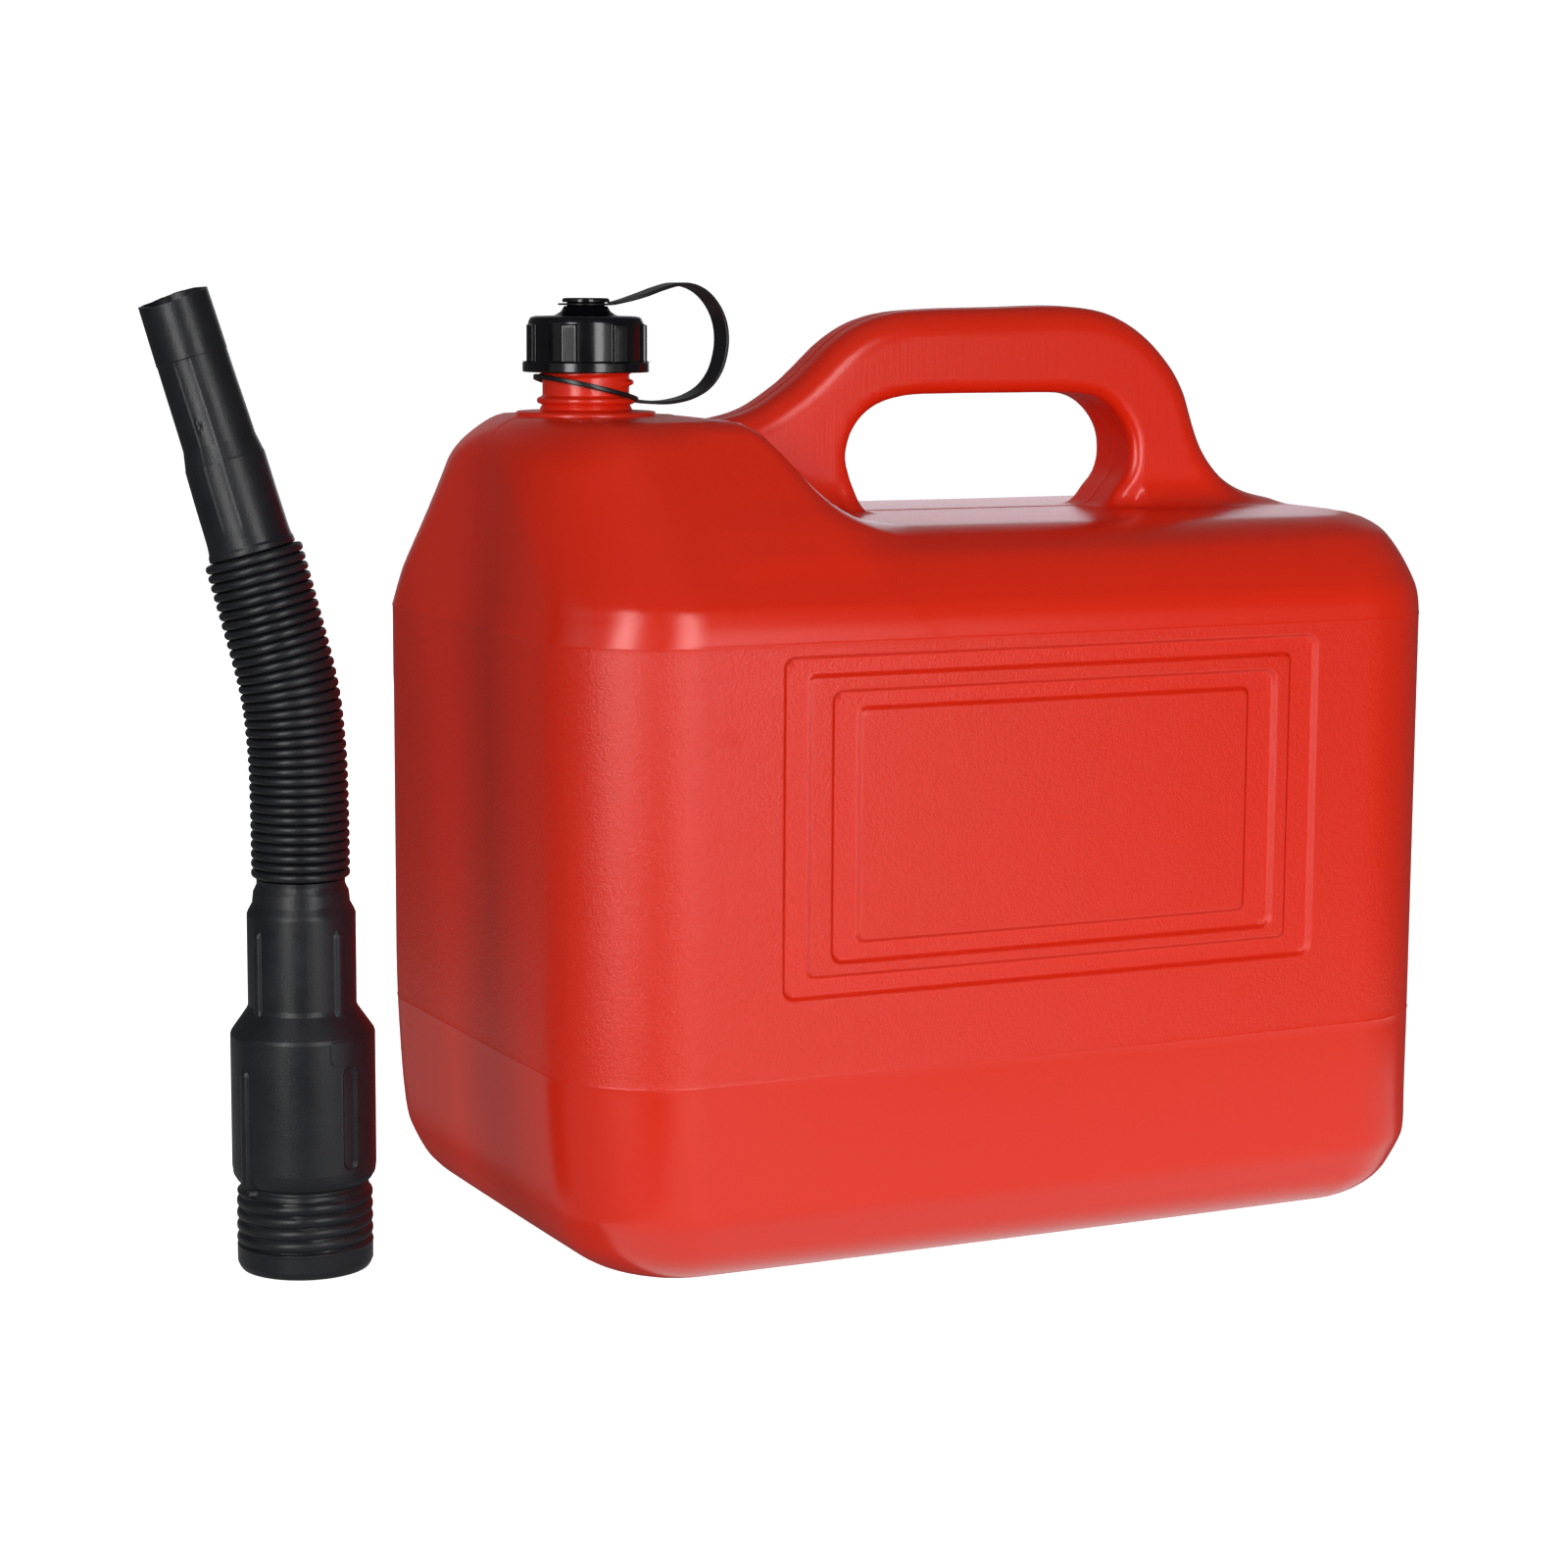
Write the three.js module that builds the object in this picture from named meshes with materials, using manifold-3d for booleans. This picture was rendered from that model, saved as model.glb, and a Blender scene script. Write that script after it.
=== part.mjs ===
// A 20 litre blow-moulded fuel can with a hollow carrying handle, a screw cap on a
// moulded tether, and a loose flexible pouring spout standing beside it.
// Millimetres, +Z up. Origin: centre of the can's flat base, on the ground.
// +X runs along the can's length away from the neck, the decorated broad face looks to -Y.
import * as THREE from 'three';
import { ParametricGeometry } from 'three/addons/geometries/ParametricGeometry.js';
import { mergeVertices } from 'three/addons/utils/BufferGeometryUtils.js';
import Module from 'manifold-3d';

const wasm = await Module();
wasm.setup();

// ---- can body --------------------------------------------------------------------
const CAN_LEN = 360;        // outside length at mid height
const CAN_DEP = 230;        // outside depth at the ends of the broad faces
const CROWN_Y = 2.0;        // bulge of the broad faces
const CROWN_X = 1.0;        // bulge of the end faces
const CORNER_R = 43;        // upright corner radius
const WALL = 2.4;
const Z_SHOULDER = 232;     // where the walls start to turn in
const Z_DECK = 269.5;       // deck under the handle, on the centre plane
const Z_PLAT = 307.5;       // raised platform that carries the neck
const FLOOR = 3.6;          // height of the ground in these figures; every piece is lowered by it at the end
const PLAT_X1 = -91;        // platform's edge towards the handle
const GROOVE_D = 1.4;       // depth of the two framing grooves
const GROOVE_OUT = [-106.7, 112.6, 107.3, 227.6];   // x0 x1 z0 z1 of the outer groove
const GROOVE_OUT_W = [9.7, 7.0];
const GROOVE_IN = [-88.0, 94.6, 119.1, 215.4];
const GROOVE_IN_W = [10.3, 6.6];
// ---- handle ------------------------------------------------------------------------
const HANDLE_Y = 16;        // half width across
const HANDLE_TOP = 347;
const HANDLE_EDGE = 9;      // rounding of the grip's edges
// ---- neck --------------------------------------------------------------------------
const NECK_X = -132.8;
const NECK_R = 16.0;        // thread root radius
const THREAD_R = 17.6;      // thread crest radius
const THREAD_PITCH = 4.3;
const NECK_BORE = 13.6;
const Z_MOUTH = 340.0;
// ---- cap ---------------------------------------------------------------------------
const CAP_Z0 = 323.3, CAP_Z1 = 343.6;
const CAP_R = 21.2, CAP_FLANGE_R = 23.3, CAP_RIB_R = 22.6, CAP_BORE_R = 18.3;
const CAP_RIBS = 7;
const KNOB_R = 8.4, KNOB_TOP = 350.3;
// ---- spout -------------------------------------------------------------------------
const SPOUT_X = -249.2, SPOUT_Y = -14.5;
const SPOUT_DIR = [-0.9, 0.436];  // the way the bellows lean, in plan
const BELLOWS_Z0 = 145.5;
const BELLOWS_R = 17.9, BELLOWS_ROOT = 15.4, BELLOWS_PITCH = 3.44, BELLOWS_N = 34;

const M = {
  red: new THREE.MeshStandardMaterial({ color: 0xd8321f, roughness: 0.42, metalness: 0 }),
  black: new THREE.MeshStandardMaterial({ color: 0x16171c, roughness: 0.28, metalness: 0 }),
  strap: new THREE.MeshStandardMaterial({ color: 0x1b1c21, roughness: 0.4, metalness: 0 }),
  spout: new THREE.MeshStandardMaterial({ color: 0x24262d, roughness: 0.45, metalness: 0 }),
  seal: new THREE.MeshStandardMaterial({ color: 0xd9d6cc, roughness: 0.7, metalness: 0 }),
};

// ---- helpers -----------------------------------------------------------------------
function toSolid(geometry, matrix) {
  let g = geometry.clone();
  if (matrix) g.applyMatrix4(matrix);
  g.deleteAttribute('normal'); g.deleteAttribute('uv');
  g = mergeVertices(g, 1e-4);
  const p = g.attributes.position.array, idx = g.index.array;
  const tri = [];
  for (let i = 0; i < idx.length; i += 3) {
    const [a, b, c] = [idx[i], idx[i + 1], idx[i + 2]];
    if (a !== b && b !== c && c !== a) tri.push(a, b, c);
  }
  let vol = 0;
  for (let i = 0; i < tri.length; i += 3) {
    const [a, b, c] = [tri[i] * 3, tri[i + 1] * 3, tri[i + 2] * 3];
    vol += p[a] * (p[b + 1] * p[c + 2] - p[b + 2] * p[c + 1])
         - p[a + 1] * (p[b] * p[c + 2] - p[b + 2] * p[c])
         + p[a + 2] * (p[b] * p[c + 1] - p[b + 1] * p[c]);
  }
  if (vol < 0) for (let i = 0; i < tri.length; i += 3) { const t = tri[i]; tri[i] = tri[i + 1]; tri[i + 1] = t; }
  return new wasm.Manifold(new wasm.Mesh({
    numProp: 3, vertProperties: new Float32Array(p), triVerts: new Uint32Array(tri),
  }));
}
const at = (x, y, z) => new THREE.Matrix4().makeTranslation(x, y, z);
function toGeometry(solid) {
  const m = solid.getMesh();
  const g = new THREE.BufferGeometry();
  const n = m.vertProperties.length / m.numProp;
  const pos = new Float32Array(n * 3);
  for (let i = 0; i < n; i++) for (let k = 0; k < 3; k++) pos[i * 3 + k] = m.vertProperties[i * m.numProp + k];
  g.setAttribute('position', new THREE.BufferAttribute(pos, 3));
  g.setIndex(new THREE.BufferAttribute(new Uint32Array(m.triVerts), 1));
  g.computeVertexNormals();
  return g;
}
const union = (list) => list.reduce((a, b) => a.add(b));
const lathe = (pts, seg = 48) => {
  const g = new THREE.LatheGeometry(pts.map(([r, z]) => new THREE.Vector2(r, z)), seg);
  g.rotateX(Math.PI / 2);
  return g;
};
const lerp = (a, b, t) => a + (b - a) * t;
function table(rows, z) {   // rows: [z, v...] rising in z
  if (z <= rows[0][0]) return rows[0].slice(1);
  for (let i = 1; i < rows.length; i++) {
    if (z <= rows[i][0]) {
      const t = (z - rows[i - 1][0]) / (rows[i][0] - rows[i - 1][0]);
      return rows[i].slice(1).map((v, k) => lerp(rows[i - 1][k + 1], v, t));
    }
  }
  return rows[rows.length - 1].slice(1);
}

// A body lofted through upright-cornered plan sections. Each section is
// [z, xLeft, xRight, halfDepth, cornerX, cornerY]; the ends close on a point.
const CORNER_SEG = 7, SIDE_SEG = 4, END_SEG = 2;
function planPoint(sec, u) {
  const [, x0, x1, b, rx, ry] = sec;
  const n = 4 * CORNER_SEG + 2 * SIDE_SEG + 2 * END_SEG;
  let k = Math.round(u * n) % n;
  const cr = (i) => (i / CORNER_SEG) * Math.PI / 2;
  let x, y;
  if (k < CORNER_SEG) { const a = cr(k); x = x1 - rx + rx * Math.cos(a); y = b - ry + ry * Math.sin(a); }
  else if ((k -= CORNER_SEG) < SIDE_SEG) { const t = k / SIDE_SEG; x = lerp(x1 - rx, x0 + rx, t); y = b; }
  else if ((k -= SIDE_SEG) < CORNER_SEG) { const a = cr(k); x = x0 + rx - rx * Math.sin(a); y = b - ry + ry * Math.cos(a); }
  else if ((k -= CORNER_SEG) < END_SEG) { const t = k / END_SEG; x = x0; y = lerp(b - ry, -(b - ry), t); }
  else if ((k -= END_SEG) < CORNER_SEG) { const a = cr(k); x = x0 + rx - rx * Math.cos(a); y = -(b - ry) - ry * Math.sin(a); }
  else if ((k -= CORNER_SEG) < SIDE_SEG) { const t = k / SIDE_SEG; x = lerp(x0 + rx, x1 - rx, t); y = -b; }
  else if ((k -= SIDE_SEG) < CORNER_SEG) { const a = cr(k); x = x1 - rx + rx * Math.sin(a); y = -(b - ry) - ry * Math.cos(a); }
  else { k -= CORNER_SEG; const t = k / END_SEG; x = x1; y = lerp(-(b - ry), b - ry, t); }
  const xm = (x0 + x1) / 2, a = Math.max(1, (x1 - x0) / 2);
  const nx = (x - xm) / a, ny = y / Math.max(1, b);
  const f = Math.min(1, b / (CAN_DEP / 2));
  y += Math.sign(ny) * CROWN_Y * f * Math.abs(ny) * Math.max(0, 1 - nx * nx);
  x += Math.sign(nx) * CROWN_X * f * Math.abs(nx) * Math.max(0, 1 - ny * ny);
  return [x, y];
}
function loft(sections) {
  const nu = 4 * CORNER_SEG + 2 * SIDE_SEG + 2 * END_SEG, nv = sections.length + 1;
  const g = new ParametricGeometry((u, v, out) => {
    const j = Math.round(v * nv);
    const s = sections[Math.min(sections.length - 1, Math.max(0, j - 1))];
    if (j === 0 || j === nv) { out.set((s[1] + s[2]) / 2, 0, s[0]); return; }
    const [x, y] = planPoint(s, u);
    out.set(x, y, s[0]);
  }, nu, nv);
  return toSolid(g);
}
// plan sections of the main tank up to the deck, from the ground
const H = CAN_DEP / 2, L = CAN_LEN / 2;
const TANK = [
  // z, xLeft, xRight, halfDepth, cornerX, cornerY
  [FLOOR, -L + 28.5, L - 27.5, H - 27.5, 24, 26],
  [4.6, -L + 22.6, L - 21.8, H - 21.8, 28, 32],
  [7.6, -L + 16.2, L - 15.2, H - 15.2, 32, 38],
  [12.0, -L + 11.0, L - 9.4, H - 9.6, 36, 42],
  [18.0, -L + 7.4, L - 5.0, H - 5.4, 39, 43],
  [24.0, -L + 5.4, L - 2.6, H - 2.4, 41, 43],
  [30.0, -L + 4.1, L - 1.0, H - 0.6, 42, CORNER_R],
  [50.0, -L + 2.0, L - 0.1, H, CORNER_R, CORNER_R],
  [80.0, -L + 0.3, L, H, CORNER_R, CORNER_R],
  [Z_SHOULDER, -L, L, H, CORNER_R, CORNER_R],
  [240, -L + 1.2, L - 0.5, H - 1.0, CORNER_R, CORNER_R],
  [248, -L + 2.6, L - 1.7, H - 5.5, 42, 42],
  [255, -L + 3.8, L - 3.4, H - 11.5, 40, 40],
  [261, -L + 5.5, L - 6.0, H - 18.0, 37, 37],
  [265.5, -L + 9.5, L - 10.0, H - 25.0, 33, 33],
  [268.2, -L + 17, L - 16, H - 33, 28, 28],
  [Z_DECK - 0.3, -L + 34, L - 34, H - 50, 20, 20],
  [Z_DECK, -L + 90, L - 90, H - 100, 8, 8],
];
const xRight = (z) => PLAT_X1 + 0.62 * (Z_PLAT - 3 - z);
const PLATFORM = [
  [225, -L + 6, xRight(225) - 10, H - 8, 38, 38],
  [Z_SHOULDER, -L + 3, xRight(Z_SHOULDER), H - 6, 40, 40],
  [240, -L + 2.2, xRight(240), H - 5, 42, 42],
  [252, -L + 3.4, xRight(252), H - 10, 42, 44],
  [266, -L + 4.2, xRight(266), H - 20, 41, 48],
  [280, -L + 5.0, xRight(280), H - 31, 40, 52],
  [291, -L + 6.6, xRight(291), H - 40, 36, 52],
  [299, -L + 11.5, xRight(299), H - 47.5, 32, 46],
  [304, -L + 18.5, PLAT_X1 - 2.5, H - 53.5, 28, 40],
  [306.6, -L + 27, PLAT_X1 - 9, H - 61, 22, 32],
  [Z_PLAT, -L + 42, PLAT_X1 - 22, H - 76, 12, 20],
];
const shrink = (secs, w, z0, z1) => secs.map(([z, x0, x1, b, rx, ry], i) => {
  const t = i / (secs.length - 1);
  return [z + lerp(z0, z1, t), x0 + w, x1 - w, Math.max(2, b - w), Math.max(1, rx - w), Math.max(1, ry - w)];
});
const tankOut = loft(TANK), platOut = loft(PLATFORM);
const tankIn = loft(shrink(TANK, WALL, WALL, -WALL).filter((_, i) => ![1, 3, 7, 9, 11].includes(i)));
const platIn = loft(shrink(PLATFORM, WALL, 0, -WALL).filter((_, i) => ![1, 3, 5, 7].includes(i)));

// the handle's side profile: outer arch and finger window, in X-Z
function handleShape() {
  const s = new THREE.Shape();
  const P = [[-86, 306.4], [-72, 308.6], [-60, 312.4], [-50.3, 319.0], [-43.7, 325.5], [-37.2, 331.9], [-30.6, 336.8], [-21.7, 341.5], [-9.6, 344.9], [7.9, 346.3], [61.5, 347.7], [75.7, 346.8], [87, 344.2], [97, 339.4], [107, 331.4], [115, 322.0], [120.4, 312.2], [124, 301.6], [128.6, 292.4], [137, 283.4], [149, 275.4], [163, 269.0]];
  s.moveTo(-86, 250);
  s.lineTo(P[0][0], P[0][1]);
  s.splineThru(P.slice(1).map(([x, z]) => new THREE.Vector2(x, z)));
  s.lineTo(165, 250);
  s.closePath();
  return s;
}
function windowShape(grow = 0) {
  const C = [[-24.2, 269.6], [-28.9, 279.4], [-32, 290.4], [-29.2, 301], [-19.2, 310.4], [-8, 313.6], [6, 314.4], [64, 314.4], [78.8, 312], [89, 303.5], [92.8, 292], [90.4, 281.6], [84.6, 274.6], [81.6, 269.6]];
  const cx = 30, cz = 292;
  return C.map(([x, z]) => {
    const d = Math.hypot(x - cx, z - cz);
    return new THREE.Vector2(x + grow * (x - cx) / d, z + grow * (z - cz) / d);
  });
}
function windowSolid(grow, half) {
  const w = windowShape(grow), s = new THREE.Shape();
  s.moveTo(-24 - grow, 240); s.lineTo(w[0].x, w[0].y);
  s.splineThru(w.slice(1));
  s.lineTo(81 + grow, 240);
  s.closePath();
  const g = new THREE.ExtrudeGeometry(new THREE.Shape(s.getPoints(2)), { depth: 2 * half, steps: 1, bevelEnabled: false });
  g.translate(0, 0, -half); g.rotateX(Math.PI / 2);
  return toSolid(g);
}
function handleSolid(offset, half, edge) {
  const outer = new THREE.Shape(handleShape().getPoints(2));
  const g = new THREE.ExtrudeGeometry(outer, {
    depth: 2 * (half - edge), steps: 1, bevelEnabled: true, bevelThickness: edge, bevelSize: edge, bevelOffset: -edge - offset, bevelSegments: 3,
  });
  g.translate(0, 0, -(half - edge)); g.rotateX(Math.PI / 2);
  // the window's rims are rounded by cutting in two steps, widest at the faces
  let solid = toSolid(g).subtract(windowSolid(offset, half + 4));
  for (const [d, r] of [[1.2, 3.2], [3.6, 1.2]]) {
    for (const side of [-1, 1]) {
      solid = solid.subtract(windowSolid(offset + r, 10).translate([0, side * (half - d + 10), 0]));
    }
  }
  return solid;
}
const handleOut = handleSolid(0, HANDLE_Y, HANDLE_EDGE);
const handleIn = handleSolid(WALL, HANDLE_Y - WALL, HANDLE_EDGE - WALL);

// neck: base disc, stop bead, root cylinder and a right-hand thread
const neckOut = lathe([[0, 296], [26, 296], [26, 308.2], [25.2, 309], [17.6, 309.3], [16.9, 310], [NECK_R, 311], [17.2, 311.2], [18.1, 312.2], [18.1, 313.4], [17.2, 314.4], [NECK_R, 314.9], [NECK_R, Z_MOUTH - 1], [NECK_R - 1, Z_MOUTH], [0, Z_MOUTH]], 28);
class Helix extends THREE.Curve {
  constructor(r, z0, turns, start) { super(); Object.assign(this, { r, z0, turns, start }); }
  getPoint(t) {
    const a = this.start + t * this.turns * 2 * Math.PI;
    return new THREE.Vector3(this.r * Math.cos(a), this.r * Math.sin(a), this.z0 + t * this.turns * THREAD_PITCH);
  }
}
function threadSolid(rRoot, rCrest, wRoot, wCrest, z0, turns, start) {
  // a ridge swept along a helix; the section runs from inside the wall to the crest
  const seg = Math.round(turns * 14);
  const sec = [[rRoot, -wRoot / 2], [rCrest, -wCrest / 2], [rCrest, wCrest / 2], [rRoot, wRoot / 2]];
  const path = new Helix(1, z0, turns, start);
  const g = new ParametricGeometry((u, v, out) => {
    const j = Math.round(v * (seg + 2)), i = Math.round(u * 4) % 4;
    const t = Math.min(1, Math.max(0, (j - 1) / seg));
    const p = path.getPoint(t);
    if (j === 0 || j === seg + 2) {
      const r = (rRoot + rCrest) / 2; out.set(r * p.x, r * p.y, p.z); return;
    }
    const [r, dz] = sec[i];
    out.set(r * p.x, r * p.y, p.z + dz);
  }, 4, seg + 2);
  return toSolid(g);
}
const neckThread = threadSolid(NECK_R - 0.6, THREAD_R, 2.6, 1.0, 319.6, 4.0, -0.5);
const neckBore = lathe([[0, 290], [NECK_BORE, 290], [NECK_BORE, Z_MOUTH + 3], [0, Z_MOUTH + 3]], 28);
const neckTopIn = lathe([[0, 280], [18, 280], [18, 303], [NECK_BORE, 306.5], [0, 306.5]], 28);

function frameCut([x0, x1, z0, z1], [wx, wz], front) {
  const round = (P, a, b, c, d, r) => {
    P.moveTo(a + r, c); P.lineTo(b - r, c); P.quadraticCurveTo(b, c, b, c + r); P.lineTo(b, d - r);
    P.quadraticCurveTo(b, d, b - r, d); P.lineTo(a + r, d); P.quadraticCurveTo(a, d, a, d - r);
    P.lineTo(a, c + r); P.quadraticCurveTo(a, c, a + r, c);
  };
  const s = new THREE.Shape(); round(s, x0, x1, z0, z1, 3);
  const h = new THREE.Path(); round(h, x0 + wx, x1 - wx, z0 + wz, z1 - wz, 2);
  s.holes.push(h);
  const g = new THREE.ExtrudeGeometry(s, { depth: 10, steps: 1, curveSegments: 2, bevelEnabled: false });
  g.rotateX(Math.PI / 2);           // profile to X-Z, depth towards -Y
  g.translate(0, front < 0 ? -(H + CROWN_Y * 0.8 - GROOVE_D) : (H + CROWN_Y * 0.8 - GROOVE_D) + 10, 0);
  return toSolid(g);
}
const N = at(NECK_X, 0, 0);
const canOut = union([tankOut, platOut, handleOut, toSolid(neckOut, N), neckThread.translate([NECK_X, 0, 0])]);
const canIn = union([tankIn, platIn, handleIn, toSolid(neckBore, N), toSolid(neckTopIn, N)]);
let can = canOut.subtract(canIn);
for (const f of [-1, 1]) {
  can = can.subtract(frameCut(GROOVE_OUT, GROOVE_OUT_W, f)).subtract(frameCut(GROOVE_IN, GROOVE_IN_W, f));
}
can = can.simplify(0.06);
// the one moulding is kept as three touching regions: tank, grip and neck
const GAP = 0.15;
const gripBox = (g) => toSolid(new THREE.BoxGeometry(240, 60, 90), at(-66 + 120 - g, 0, 271 + 45 - g));
const neckDisc = (g) => toSolid(lathe([[0, 300 - g], [27.5 + g, 300 - g], [27.5 + g, 350], [0, 350]], 40), N);
const canGrip = can.intersect(gripBox(-GAP));
const canNeck = can.intersect(neckDisc(-GAP));
const canTank = can.subtract(gripBox(GAP)).subtract(neckDisc(GAP));

// ---- cap ----------------------------------------------------------------------------
const capShell = lathe([
  [0, 342.3], [CAP_BORE_R - 0.6, 342.3], [CAP_BORE_R, 341.7], [CAP_BORE_R, CAP_Z0], [CAP_FLANGE_R - 0.5, CAP_Z0], [CAP_FLANGE_R, CAP_Z0 + 0.5],
  [CAP_FLANGE_R, 326.7], [CAP_FLANGE_R - 0.4, 327.1], [CAP_R + 0.1, 327.1], [CAP_R, 340.8], [CAP_R - 0.7, 342.7], [CAP_R - 2.4, CAP_Z1],
  [11.3, CAP_Z1 + 0.2], [KNOB_R, 346.4], [KNOB_R, 347.1], [KNOB_R - 1.4, 347.3], [KNOB_R - 1.4, 348.6], [KNOB_R, 348.8], [KNOB_R, KNOB_TOP - 0.5], [KNOB_R - 0.6, KNOB_TOP], [0, KNOB_TOP],
], 32);
let cap = toSolid(capShell);
for (let i = 0; i < CAP_RIBS; i++) {
  const rib = new THREE.Shape();
  rib.moveTo(CAP_R - 1.6, -3.6); rib.lineTo(CAP_RIB_R - 0.5, -3.1); rib.lineTo(CAP_RIB_R, -2.4); rib.lineTo(CAP_RIB_R, 2.4); rib.lineTo(CAP_RIB_R - 0.5, 3.1); rib.lineTo(CAP_R - 1.6, 3.6); rib.closePath();
  const g = new THREE.ExtrudeGeometry(rib, { depth: 13.5, steps: 1, bevelEnabled: false });
  g.translate(0, 0, 327.0);
  g.rotateZ((i * 2 * Math.PI) / CAP_RIBS - 2.2515);
  cap = cap.add(toSolid(g));
}
// the cap's own thread lies midway between the neck's turns
cap = cap.add(threadSolid(CAP_BORE_R + 0.5, NECK_R + 0.7, 2.2, 0.8, 325.7, 3.2, -0.5 + Math.PI * 2 * (325.7 - 319.6 - THREAD_PITCH / 2) / THREAD_PITCH));
const gasket = toSolid(lathe([[NECK_BORE - 4, 340.35], [17.2, 340.35], [17.2, 341.9], [NECK_BORE - 4, 341.9], [NECK_BORE - 4, 340.35]], 28));

// ---- tether -------------------------------------------------------------------------
// ring lying aslant round the neck, flat band looping out and up, eye in the knob's groove
const RING_R = 18.85, RING_Z = 317.2, RING_TILT = 0.235;
const tilt = (x, y) => RING_Z - RING_TILT * x;
const ringG = new ParametricGeometry((u, v, out) => {
  const a = u * 2 * Math.PI, k = Math.round(v * 4) % 4;
  const [dr, dz] = [[-0.5, -0.75], [0.5, -0.75], [0.5, 0.75], [-0.5, 0.75]][k];
  const r = RING_R + dr, x = r * Math.cos(a), y = r * Math.sin(a);
  out.set(NECK_X + x, y, tilt(RING_R * Math.cos(a), 0) + dz);
}, 32, 4);
const ring = toSolid(ringG);
const BAND = [[19.7, 312.7], [25, 311.9], [31.5, 311.5], [38, 311.9], [45.7, 313.6], [52.8, 317.2], [57.7, 322.8], [60.3, 330], [60.8, 336], [59.6, 342], [56.5, 347.6], [51.5, 352.3], [45.6, 355], [39.2, 355.5], [32, 353.6], [25, 351.4], [18, 349.5], [11.3, 348.1]];
const bandCurve = new THREE.CatmullRomCurve3(BAND.map(([x, z]) => new THREE.Vector3(x, 0, z)), false, 'centripetal');
const BAND_AZ = 0.18;       // the loop's plane, turned a little from +X
const bandW = (t) => (t < 0.12 ? lerp(2.6, 4.4, t / 0.12) : t > 0.86 ? lerp(4.4, 2.6, (t - 0.86) / 0.14) : 4.4);
const bandG = new ParametricGeometry((u, v, out) => {
  const n = 40, j = Math.round(v * (n + 2)), k = Math.round(u * 4) % 4;
  const t = Math.min(1, Math.max(0, (j - 1) / n));
  const p = bandCurve.getPointAt(t), d = bandCurve.getTangentAt(t);
  const nx = -d.z, nz = d.x;
  const [a, b] = j === 0 || j === n + 2 ? [0, 0] : [[-1, -1], [1, -1], [1, 1], [-1, 1]][k];
  const x = p.x + nx * b * 0.65, z = p.z + nz * b * 0.65, y = a * bandW(t);
  const c = Math.cos(BAND_AZ), s = Math.sin(BAND_AZ);
  out.set(NECK_X + x * c - y * s, x * s + y * c, z);
}, 4, 42);
const band = toSolid(bandG);
const eye = toSolid(lathe([[KNOB_R - 0.9, 347.55], [10.9, 347.55], [10.9, 348.4], [KNOB_R - 0.9, 348.4], [KNOB_R - 0.9, 347.55]], 28));

// ---- spout --------------------------------------------------------------------------
const ridge = [];
for (let i = 0; i < 5; i++) {
  const z = 12.4 + i * 4.4;
  ridge.push([23.2, z], [24.3, z + 1.3], [24.3, z + 2.7], [23.2, z + 4.0]);
}
const baseOut = [[22.8, FLOOR], [23.9, 4.9], [24.3, 6.6], [24.3, 11.4], ...ridge, [23.4, 35.0], [25.5, 38.6], [25.8, 41], [25.8, 88.6], [25.2, 90.4], [19.9, 98.0], [19.35, 99.5], [19.35, 132.5], [18.5, 134.6], [16.2, 138], [15.6, 139.4], [15.6, BELLOWS_Z0 - 0.4]];
const baseIn = [[13.6, BELLOWS_Z0 - 0.4], [13.6, 137.5], [17.0, 133], [17.0, 98.2], [18.0, 95.4], [23.3, 88.4], [23.3, 41], [21.4, 36.4], [18.6, 35], [18.6, FLOOR]];
let spoutBase = toSolid(lathe([...baseOut, ...baseIn, baseOut[0]], 30));
const addRib = (r, w, z0, z1, ang, out) => {
  const g = new THREE.BoxGeometry(out + 1.5, w, z1 - z0);
  g.translate(r - 1.5 + (out + 1.5) / 2, 0, (z0 + z1) / 2);
  g.rotateZ(ang);
  spoutBase = spoutBase.add(toSolid(g));
};
for (const a of [-2.812, -1.154, 0.33, 1.988]) addRib(19.35, 3.4, 99.4, 127.6, a, 1.2);
for (const a of [-2.812, 0.33]) addRib(25.8, 3.4, 37.4, 78.6, a, 1.2);
// spine of the bellows and nozzle, in the leaning plane: s is the offset, z the height
const SPINE = [[0, 145.5], [0, 158], [0.1, 170], [0.5, 187], [1.2, 197], [2.3, 207.5], [4.2, 218], [6.7, 228.3], [9.4, 238.7], [12.1, 249], [14.9, 259.4], [17.6, 269], [20.9, 280.1], [26.9, 300.9], [33.3, 321.6], [42.1, 350.5]];
const spine = new THREE.CatmullRomCurve3(SPINE.map(([s, z]) => new THREE.Vector3(SPOUT_DIR[0] * s, SPOUT_DIR[1] * s, z)), false, 'centripetal');
spine.arcLengthDivisions = 400;
const side = new THREE.Vector3(-SPOUT_DIR[1], SPOUT_DIR[0], 0).normalize();
const SPINE_LEN = spine.getLength();
function along(profile, seg) {     // closed [distance, radius] loop swept round the spine
  const n = profile.length;
  const g = new ParametricGeometry((u, v, out) => {
    const [d, r] = profile[Math.round(v * n) % n];
    const t = Math.min(1, Math.max(0, d / SPINE_LEN));
    const p = spine.getPointAt(t), tan = spine.getTangentAt(t);
    const nrm = new THREE.Vector3().crossVectors(side, tan).normalize();
    const a = (Math.round(u * seg) % seg) / seg * 2 * Math.PI;
    out.copy(p).addScaledVector(nrm, r * Math.cos(a)).addScaledVector(side, r * Math.sin(a));
  }, seg, n);
  return toSolid(g);
}
const bel = [];
for (let i = 0; i < BELLOWS_N; i++) bel.push([i * BELLOWS_PITCH + 0.3, BELLOWS_ROOT], [i * BELLOWS_PITCH + BELLOWS_PITCH / 2, BELLOWS_R]);
const BEL_LEN = BELLOWS_N * BELLOWS_PITCH;
bel.push([BEL_LEN, BELLOWS_ROOT]);
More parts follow.
